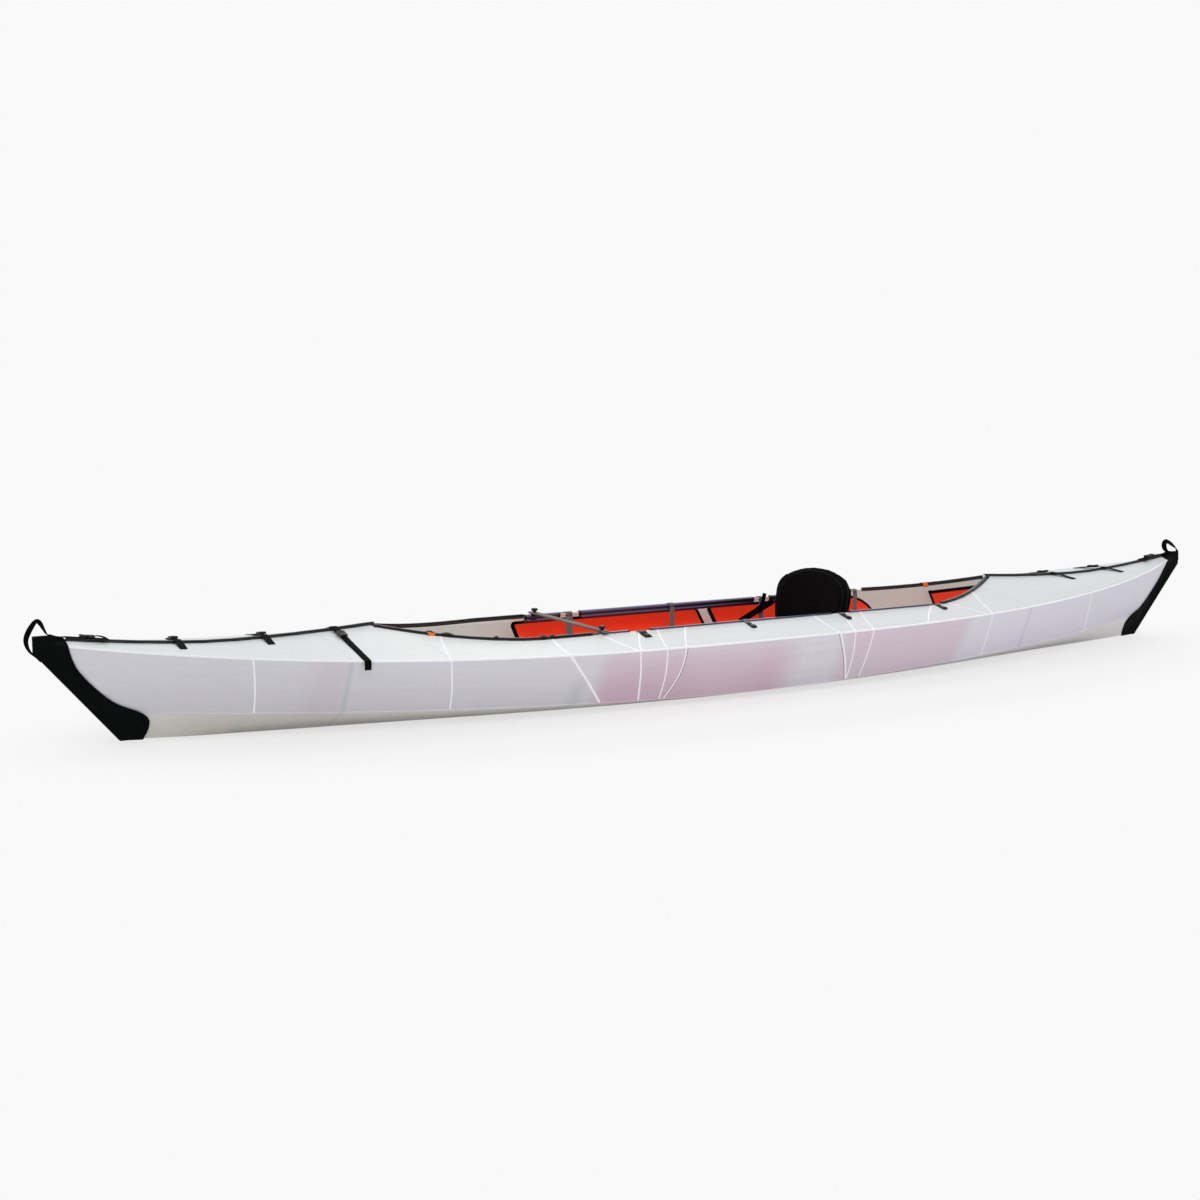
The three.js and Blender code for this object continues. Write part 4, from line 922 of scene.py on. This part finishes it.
# A strap's end that hangs over the deck's edge: millimetres outboard and down from its last place there
HANGING_END = ((3, 0.4), (6, 3), (7.5, 9), (7, 18), (6, 30))


def upper_line(points):
    """The taut line over points given in order: those that a stretched strap would touch."""
    kept = []
    for point in points:
        while len(kept) > 1:
            (x0, z0), (x1, z1), (x2, z2) = kept[-2][:2], kept[-1][:2], point[:2]
            if (x1 - x0) * (z2 - z0) - (z1 - z0) * (x2 - x0) < 0:
                break
            kept.pop()
        kept.append(point)
    return kept


def deck_strap_path(node, tree):
    """Points along a deck strap, from its starboard end to its port end, and the surface's normals."""
    points, _ = ARRAYS[node]
    right = points[points[:, 1] > points[:, 1].max() - 2 * MM]
    left = points[points[:, 1] < points[:, 1].min() + 2 * MM]
    start, end = Vector(right.mean(axis=0)), Vector(left.mean(axis=0))
    samples, hanging = [], False
    for step in range(STRAP_STEPS + 1):
        place = start.lerp(end, step / STRAP_STEPS)
        hits = [under(tree, place.x + shift * STRAP_WIDTH, place.y)[0] for shift in (-0.4, 0, 0.4)]
        heights = [hit.z for hit in hits if hit is not None]
        if len(heights) < 3 or (samples and max(heights) < samples[-1][1] - 30 * MM):
            hanging = True
            break
        welt = WELT_HEIGHT if abs(place.y) < WELT_WIDTH * 0.6 else 0.0
        samples.append((place.y * -1, max(heights) + welt + DECK_LIFT, place.x))
    path = [Vector((x, -y, z)) for y, z, x in upper_line(samples)]
    dense = []
    for a, b in zip(path, path[1:]):
        count = max(int((b - a).length / (9 * MM)), 1)
        dense += [a.lerp(b, i / count) for i in range(count)]
    dense.append(path[-1])
    if hanging:
        dense += [path[-1] + Vector((-0.05 * out, -out, -drop)) * MM for out, drop in HANGING_END]
    normals = []
    for tangent in tangents(dense):
        normal = UP - tangent * tangent.z
        normals.append(normal.normalized() if normal.length > 0.2 else -STARBOARD)
    return dense, normals


# Outlines of a buckle's two halves and the places of its two bars along it, in millimetres
BUCKLE_HALVES = {
    "socket": [(-1, -13), (3, -14), (19, -13.5), (22, -11), (22, 11), (19, 13.5), (3, 14), (-1, 13),
               (-1, 8.5), (6, 7.5), (6, -7.5), (-1, -8.5)],
    "plug": [(-2, -9.5), (-8, -13.8), (-16, -13.2), (-23, -11.5), (-23, 11.5), (-16, 13.2), (-8, 13.8),
             (-2, 9.5), (-2, 4), (4.5, 4), (4.5, -4), (-2, -4)],
}
BUCKLE_BARS = {"bar_near": 17, "bar_far": -18}


def make_buckle(name, centre, along, normal):
    """A side-release buckle: a flat socket, a plug with two springy arms, and two bars for the webbing."""
    across = normal.cross(along).normalized()
    up = along.cross(across).normalized()
    base = centre + up * 2.6 * MM
    for label, outline in BUCKLE_HALVES.items():
        shape = [(x * MM, y * MM) for x, y in outline]
        plate(f"{name}_{label}", shape, base, along, across, 7 * MM, 1.1 * MM)
    bar = rounded_outline(4 * MM, 21 * MM, 1.6 * MM)
    for label, place in BUCKLE_BARS.items():
        origin = base + along * place * MM + up * 6.5 * MM
        plate(f"{name}_{label}", bar, origin, along, across, 1.8 * MM, 0.6 * MM)


def make_deck_straps():
    tree = surface(*both_sides(*DECKS), *SEAMS)
    for node, place in STRAP_BUCKLES.items():
        path, normals = deck_strap_path(node, tree)
        tape = band(f"{node}_webbing", path, normals, STRAP_WIDTH, STRAP_THICK)
        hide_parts(node)
        middle = min(range(1, len(path) - 1), key=lambda i: abs(path[i].y - place * MM))
        direction = (path[middle - 1] - path[middle + 1]).normalized()
        make_buckle(f"{node}_buckle", path[middle], direction, normals[middle])
        loose = range(max(middle - 2, 0), max(middle - 8, -1), -1)
        if len(loose) > 2:
            tail = [path[i] + normals[i] * (STRAP_THICK + 0.3 * MM) for i in loose]
            band(f"{node}_tail", tail, [normals[i] for i in loose], STRAP_WIDTH * 0.96, STRAP_THICK)


# Grab loops and the strap clusters at the noses

LOOP_TWIST = math.radians(62)
LOOP_THICK = 2.6 * MM


def make_grab_loops():
    """Webbing of each grab loop, twisted on its way round."""
    for end in ENDS:
        node = f"{end}_grab_loop"
        low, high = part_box(node)
        path = curved([Vector((p.x, 0, p.z)) for p in strip_line(node, STARBOARD)], 3)
        normals = []
        for index, tangent in enumerate(tangents(path)):
            turn = LOOP_TWIST * math.sin(math.pi * index / (len(path) - 1)) ** 2
            normals.append(Matrix.Rotation(turn, 3, tangent) @ STARBOARD.cross(tangent))
        shifted = [p - n * 1.3 * MM for p, n in zip(path, normals)]
        tape = band(f"{end}_loop_webbing", shifted, normals, high.y - low.y - 1 * MM, LOOP_THICK)
        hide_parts(node)


# Where each nose strap starts and ends, in metres from midships
NOSE_STRAPS = {"bow": (2.385, 2.235), "stern": (2.39, 2.225)}
NOSE_STEPS = 16
NOSE_BUCKLE = 10
# A nose strap's loose tail: millimetres along the strap from its buckle, across and up
NOSE_TAIL = ((12, 0, 5), (28, -9, 9), (44, -20, 8), (58, -30, 1))


def make_nose_straps():
    """A short strap along the deck seam behind each nose, with its buckle and a loose tail."""
    for end, way in ENDS.items():
        tree = surface(*both_sides(f"{end}_deck"), f"{end}_seam_trim", f"{end}_cap")
        path = []
        for reach in spaced(*NOSE_STRAPS[end], NOSE_STEPS):
            path.append(under(tree, way * reach, 0)[0] + UP * (WELT_HEIGHT + 0.4 * MM))
        band(f"{end}_nose_strap", path, [UP] * len(path), *TAPES["nose"])
        middle = path[NOSE_BUCKLE]
        along = (path[NOSE_BUCKLE + 1] - path[NOSE_BUCKLE - 1]).normalized()
        make_buckle(f"{end}_nose_buckle", middle, along, UP)
        tail = curved([middle + along * far * MM + Vector((0, y, z)) * MM for far, y, z in NOSE_TAIL], 5)
        band(f"{end}_nose_tail", tail, [UP] * len(tail), *TAPES["nose_tail"])


# Boards and their bindings

BINDING_WIDTH = 13 * MM
BINDING_RISE = 0.6 * MM
BINDING_LAP = 0.5 * MM


def binding_ring(front):
    """A board's outline with points added on its long edges, 25 to 50 mm apart."""
    ring = []
    for a, b in zip(front, front[1:] + front[:1]):
        parts = max(int((b - a).length / (25 * MM)), 1)
        ring += [a.lerp(b, part / parts) for part in range(parts)]
    return ring


def make_binding(name, node, direction):
    """Cloth tape folded round the edge of a board, all the way along its outline."""
    front = face_loop(node, direction)
    centre = sum(front, Vector()) / len(front)
    hit = surface(node).ray_cast(centre - direction * 1 * MM, -direction)[0]
    top = direction * BINDING_RISE
    low = -direction * ((centre - hit).dot(direction) + BINDING_RISE)
    ring = binding_ring(front)
    vertices = []
    for index, point in enumerate(ring):
        tangent = (ring[(index + 1) % len(ring)] - ring[index - 1]).normalized()
        inward = direction.cross(tangent).normalized()
        if (centre - point).dot(inward) < 0:
            inward = -inward
        edge, lap = inward * BINDING_WIDTH, inward * BINDING_LAP
        vertices += [
            point + edge + top, point + top * 1.3 + edge * 0.4, point - lap + top * 0.7,
            point - lap + low * 0.95, point + edge * 0.4 + low * 1.03, point + edge + low,
        ]
    piece(name, vertices, ring_faces(len(ring), 6, wrap=True), BINDING)


def widest_normal(node):
    """The direction in which a board's largest flat face looks, upward or towards the stern."""
    totals = {}
    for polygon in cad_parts[node].data.polygons:
        key = tuple(round(v, 2) for v in polygon.normal)
        totals[key] = totals.get(key, 0) + polygon.area
    best = Vector(max(totals, key=totals.get)).normalized()
    exact = Vector()
    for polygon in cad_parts[node].data.polygons:
        if polygon.normal.dot(best) > 0.999:
            exact += polygon.normal * polygon.area
    exact.normalize()
    return -exact if exact.z + exact.x < 0 else exact


def make_boards():
    boards = ["bow_floorboard", "stern_floorboard", "bow_bulkhead", "stern_bulkhead"]
    boards += both_sides("bow_floor_wing", "stern_floor_wing")
    dress(boards, BOARD, 0.5 * MM)
    for node in boards:
        make_binding(f"{node}_binding", node, widest_normal(node))


# Seat

CLOTH_FRAMES = 20


def apply_modifiers(obj):
    graph = bpy.context.evaluated_depsgraph_get()
    made = bpy.data.meshes.new_from_object(obj.evaluated_get(graph), depsgraph=graph)
    obj.modifiers.clear()
    obj.data = made


def cushion_copy(name, node, voxel, shrink):
    """A CAD cushion's shape as one even mesh, a little smaller than the CAD solid."""
    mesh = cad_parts[node].data.copy()
    mesh.name = name
    obj = add_object(name, mesh)
    centre = sum((v.co for v in mesh.vertices), Vector()) / len(mesh.vertices)
    for vertex in mesh.vertices:
        vertex.co = centre + (vertex.co - centre) * shrink
    obj.modifiers.new("weld", "WELD").merge_threshold = 0.02 * MM
    remesh = obj.modifiers.new("even", "REMESH")
    remesh.mode = "VOXEL"
    remesh.voxel_size = voxel
    apply_modifiers(obj)
    return obj


def inflate(obj, pressure, most):
    """Puffs a cushion up as cloth under pressure, with no point moving further than a limit."""
    before = [v.co.copy() for v in obj.data.vertices]
    cloth = obj.modifiers.new("puff", "CLOTH")
    cloth.settings.quality = 6
    cloth.settings.mass = 0.25
    cloth.settings.tension_stiffness = 18
    cloth.settings.compression_stiffness = 18
    cloth.settings.bending_stiffness = 0.8
    cloth.settings.use_pressure = True
    cloth.settings.uniform_pressure_force = pressure
    cloth.settings.effector_weights.gravity = 0
    for number in range(1, CLOTH_FRAMES + 1):
        bpy.context.scene.frame_set(number)
        bpy.context.view_layer.update()
    apply_modifiers(obj)
    bpy.context.scene.frame_set(1)
    for vertex, start in zip(obj.data.vertices, before):
        move = vertex.co - start
        if move.length > most:
            vertex.co = start + move.normalized() * most


def make_cushion(node, voxel, shrink, pressure, most, body):
    """A puffed cushion in place of its CAD solid. Returns a tree of its surface, and its box and middle."""
    obj = cushion_copy(f"{node}_cushion", node, voxel, shrink)
    inflate(obj, pressure, most)
    obj.data.materials.clear()
    obj.data.materials.append(CUSHION)
    fine = obj.modifiers.new("fine", "SUBSURF")
    fine.levels = fine.render_levels = 1
    for polygon in obj.data.polygons:
        polygon.use_smooth = True
    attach(obj, body)
    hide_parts(node)
    low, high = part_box(node)
    tree = BVHTree.FromObject(obj, bpy.context.evaluated_depsgraph_get())
    return tree, low, high, (Vector(low) + Vector(high)) / 2


def hull_outline(points):
    """The convex outline of flat points, in order."""
    points = sorted(map(tuple, points))
    outline = []
    for run in (points, points[::-1]):
        part = []
        for p in run:
            while len(part) > 1:
                (ax, ay), (bx, by) = part[-2], part[-1]
                if (bx - ax) * (p[1] - ay) - (by - ay) * (p[0] - ax) > 0:
                    break
                part.pop()
            part.append(p)
        outline += part[:-1]
    return outline


def even_ring(outline, count):
    """Points at even distances round a closed outline."""
    closed = outline + [outline[0]]
    lengths = [math.dist(a, b) for a, b in zip(closed, closed[1:])]
    total, result, index, passed = sum(lengths), [], 0, 0.0
    for step in range(count):
        target = total * step / count
        while passed + lengths[index] < target:
            passed += lengths[index]
            index += 1
        share = (target - passed) / lengths[index]
        a, b = closed[index], closed[index + 1]
        result.append((a[0] + (b[0] - a[0]) * share, a[1] + (b[1] - a[1]) * share))
    return result


# Lean of the seat back, and the rows of piping on it: their place as a share of its outline, their
# radius in millimetres, and whether they are on its front or its rear
SEAT_LEAN = math.radians(10.5)
BACK_PIPING = {"piping": (0.86, 2.6, 1), "rim_piping": (0.955, 2.2, 1), "rear_piping": (0.9, 2.2, -1)}
RING_POINTS = 96
RAY_START = 0.3


def make_seat_back():
    """The oval back: a puffed cloth shell with two rows of piping on its front and one on its rear."""
    tree, _, _, centre = make_cushion("seat_back", 5 * MM, 0.985, 3.0, 8 * MM, "seat_back")
    rise = Vector((math.sin(SEAT_LEAN), 0, math.cos(SEAT_LEAN)))
    face = Vector((-math.cos(SEAT_LEAN), 0, math.sin(SEAT_LEAN)))
    flat = [(p[1] - centre.y, (Vector(p) - centre).dot(rise)) for p in ARRAYS["seat_back"][0]]
    ring = even_ring(hull_outline(flat), RING_POINTS)
    for label, (share, radius, look) in BACK_PIPING.items():
        line = []
        for across, along in ring:
            start = centre + STARBOARD * across * share + rise * along * share + face * RAY_START * look
            hit, normal = tree.ray_cast(start, -face * look)[:2]
            if hit is not None:
                line.append(hit + normal * 0.6 * MM)
        make_piping(f"seat_back_{label}", line, radius * MM, "seat_back")


SEAM_STEPS = 40


def pad_top(tree, x, y):
    """Where a ray from above meets the pad, or the pad's nearest place to the floor there if it misses."""
    hit, normal = under(tree, x, y)
    return (hit, normal) if hit is not None else nearest(tree, Vector((x, y, 0)))


def make_seat_pad():
    """The seat pad: a puffed cushion with two rows of stitches and piping along its top edge."""
    tree, low, high, centre = make_cushion("seat_pad", 6 * MM, 0.98, 3.5, 7 * MM, "hull")
    flat = [(p[0] - centre.x, p[1] - centre.y) for p in ARRAYS["seat_pad"][0]]
    line = []
    for x, y in even_ring(hull_outline(flat), RING_POINTS):
        hit, normal = pad_top(tree, centre.x + x * 0.93, centre.y + y * 0.93)
        line.append(hit + normal * 0.5 * MM)
    make_piping("seat_pad_piping", line, 2.4 * MM, "hull")
    half = (high.y - low.y) * 0.44
    for number, share in enumerate((0.3, 0.56), 1):
        x = low.x + (high.x - low.x) * share
        across = spaced(centre.y - half, centre.y + half, SEAM_STEPS)
        seam = [pad_top(tree, x, y)[0] + UP * 0.4 * MM for y in across]
        make_stitches(f"seat_pad_stitches_{number}", seam, length=5 * MM, gap=3 * MM)


# A seat strap's run, as millimetres aft of the CAD strap's lower fore corner and up from it, and its
# loose tail's places from the buckle
STRAP_RUN = ((12, 13), (60, 35), (120, 62))
STRAP_TAIL = ((0, 2.2, 4), (6, 3, 26), (12, 4, 44), (15, 5, 56))
ANCHOR_STEPS = 4


def make_seat_straps():
    """Side straps from the floorboard's wings to the seat back, each with a buckle and a loose tail."""
    for side, sign in SIDES.items():
        node = f"seat_strap_{side}"
        low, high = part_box(node)
        y = (low.y + high.y) / 2 - sign * 0.9 * MM
        outward = STARBOARD * sign
        run = [Vector((low.x + aft * MM, y, low.z + up * MM)) for aft, up in STRAP_RUN]
        path = curved(run + [Vector((high.x - 10 * MM, y, low.z + 82 * MM))], 8)
        main = band(f"seat_strap_tape_{side}", path, [outward] * len(path), *TAPES["seat"])
        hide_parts(node)
        joint = path[len(path) * 3 // 5]
        tail = curved([joint + Vector((aft, out * sign, up)) * MM for aft, out, up in STRAP_TAIL], 5)
        band(f"seat_strap_tail_{side}", tail, [outward] * len(tail), *TAPES["seat_tail"])
        make_anchor(side, path, outward)
        direction = (path[-1] - path[0]).normalized()
        make_buckle(f"seat_strap_buckle_{side}", joint + outward * 1.5 * MM, direction, outward)


def make_anchor(side, path, outward):
    """The webbing that holds the fore end of a seat strap to the floorboard's wing."""
    wings = surface(*on_side(side, "bow_floor_wing", "stern_floor_wing"))
    foot, normal = nearest(wings, path[0] + (Vector((-20, 0, -48)) + outward * 16) * MM)
    down = Vector((-1, 0, -0.2)).cross(normal).cross(normal).normalized()
    down = down if down.x < 0 else -down
    lifted = foot + normal * 1.2 * MM
    places = [path[2] + outward * 2.2 * MM, path[0] + outward * 2 * MM, path[0].lerp(foot, 0.55), lifted,
              lifted + down * 26 * MM]
    anchor = curved(places, ANCHOR_STEPS)
    facing = [outward, outward, (outward * -1).lerp(normal, 0.5) * -1, -normal, -normal, -normal]
    blend = []
    for index in range(len(anchor)):
        first, step = divmod(index, ANCHOR_STEPS)
        blend.append(facing[first].lerp(facing[first + 1], step / ANCHOR_STEPS))
    band(f"seat_strap_anchor_{side}", anchor, blend, *TAPES["seat_anchor"])


# Small things on the cockpit's trims

TABS = (("bow", "port", -1.184), ("stern", "starboard", 1.14))
# A pull tab's section over the trim: millimetres outboard and up from the trim's top
TAB_SECTION = [(16, -9), (14, -2), (8, 2.2), (2, 3.4), (-5, 3.2), (-9, 0), (-10, -9), (-10.5, -14)]
# Keepers on the near trim: x in metres and length in millimetres
KEEPERS = ((-1.185, 30), (-1.135, 40), (-0.99, 16), (-0.835, 22), (-0.8, 18))


def trim_top(end, side, x):
    """The rim's point at x, and the top of the cockpit's trim near it."""
    point = edge_point("rim", x, side)
    return point, nearest(surface(f"cockpit_trim_{end}_{side}"), point + UP * 0.05)[0]


def make_tabs():
    """Orange pull tabs folded over the trim: at the bow to port, and at the stern to starboard."""
    for end, side, x in TABS:
        sign = SIDES[side]
        _, top = trim_top(end, side, x)
        path = curved([top + Vector((0, sign * out, up)) * MM for out, up in TAB_SECTION], 4)
        normals = [AFT.cross(tangent) * -sign for tangent in tangents(path)]
        band(f"{end}_pull_tab", path, normals, *TAPES["tab"], ORANGE_TAPE)


def make_keepers():
    """Small moulded keepers along the fore part of the near trim, each with a rib."""
    for number, (x, length) in enumerate(KEEPERS, 1):
        point, top = trim_top("bow", "port", x)
        along = (edge_point("rim", x + 0.02, "port") - point).normalized()
        across = UP.cross(along).normalized()
        up = along.cross(across)
        top += up * (WELT_HEIGHT - 0.6 * MM)
        outline = rounded_outline(length * MM, 15 * MM, 4 * MM)
        plate(f"trim_keeper_{number}", outline, top, along, across, 2.6 * MM, 0.8 * MM)
        outline = rounded_outline(length * 0.5 * MM, 6 * MM, 2 * MM)
        top += up * 3.6 * MM
        plate(f"trim_keeper_rib_{number}", outline, top, along, across, 2 * MM, 0.5 * MM)


# Floor, light and camera

CAMERA_PLACE = (-3.59, -5.45, 1.194)
CAMERA_YAW = math.radians(29.79)
CAMERA_PITCH = math.radians(7.71)
CAMERA_LENS = 52.98
FLOOR_HALF = 60.0
FLOOR_DROP = 0.5 * MM
SKY_STRENGTH = 0.5
PHOTO_WHITE = (0.945, 0.945, 0.945, 1)

# The floor's shown white: its share near the boat, and the half axes of the oval that it covers there
FLOOR_LIFT = 0.7
FLOOR_SHADE = (1.95, 0.75)


def seen_directly(graph):
    """1 for rays that show a surface to the camera, straight or in gloss or glass, and 0 for all others."""
    path = graph.nodes.new("ShaderNodeLightPath").outputs
    glossy = graph.math("MAXIMUM", path["Is Camera Ray"], path["Is Glossy Ray"])
    return graph.math("MAXIMUM", glossy, path["Is Transmission Ray"])


def make_floor():
    """A pale floor that fades into the white of the backdrop outside the oval of FLOOR_SHADE."""
    corners = ((-1, -1), (1, -1), (1, 1), (-1, 1))
    mesh = bpy.data.meshes.new("floor")
    mesh.from_pydata([(x * FLOOR_HALF, y * FLOOR_HALF, -FLOOR_DROP) for x, y in corners], [], [(0, 1, 2, 3)])
    floor = add_object("floor", mesh)
    finish = Finish("floor", roughness=0.9, specular=0.1)
    finish.paint(colour("#f0f0f0"))
    squares = []
    for axis, half in zip(finish.split(), FLOOR_SHADE):
        reach = finish.math("DIVIDE", finish.math("ABSOLUTE", axis), half)
        squares.append(finish.math("POWER", reach, 2.0))
    reach = finish.math("SQRT", finish.math("ADD", *squares))
    shown = finish.times(finish.ramp(reach, 1.0, 1.4, FLOOR_LIFT, 1.0), seen_directly(finish))
    glow = finish.node("ShaderNodeEmission", Color=PHOTO_WHITE)
    finish.cover(shown, finish.shader.outputs[0], glow.outputs[0], "Material Output")
    mesh.materials.append(finish.material)


def make_backdrop():
    """An even white sky for the camera and for reflections, and a softer one that lights the boat."""
    world = bpy.data.worlds.new("studio")
    world.use_nodes = True
    bpy.context.scene.world = world
    graph = Graph(world.node_tree)
    sky = graph.nodes["Background"]
    sky.inputs["Color"].default_value = WHITE
    sky.inputs["Strength"].default_value = SKY_STRENGTH
    seen = graph.node("ShaderNodeBackground", Color=PHOTO_WHITE)
    graph.cover(seen_directly(graph), sky.outputs[0], seen.outputs[0], "World Output")


def make_lamp(name, place, target, size, power):
    light = bpy.data.lights.new(name, "AREA")
    light.shape = "RECTANGLE"
    light.size, light.size_y = size
    light.energy = power
    lamp = add_object(name, light)
    lamp.location = place
    lamp.rotation_euler = (Vector(target) - Vector(place)).to_track_quat("-Z", "Y").to_euler()


def make_camera():
    data = bpy.data.cameras.new("photo_view")
    data.lens = CAMERA_LENS
    camera = add_object("photo_view", data)
    camera.location = CAMERA_PLACE
    level = math.cos(CAMERA_PITCH)
    forward = Vector((math.sin(CAMERA_YAW) * level, math.cos(CAMERA_YAW) * level, -math.sin(CAMERA_PITCH)))
    camera.rotation_euler = forward.to_track_quat("-Z", "Y").to_euler()
    bpy.context.scene.camera = camera


dress_hull()
make_creases()
make_folds()
dress_fittings()
make_cap_hems()
make_trim_welts()
make_rail_plugs()
make_clips()
make_deck_straps()
make_grab_loops()
make_nose_straps()
make_boards()
make_seat_back()
make_seat_pad()
make_seat_straps()
make_tabs()
make_keepers()
make_floor()
make_backdrop()
make_lamp("key", place=(-3.4, -6.4, 7.2), target=(0, 0, 0.2), size=(8, 5), power=310)
make_lamp("top", place=(0.5, 0.8, 5.0), target=(0, 0, 0), size=(6, 3), power=80)
make_camera()
bpy.context.scene.view_settings.view_transform = "Standard"
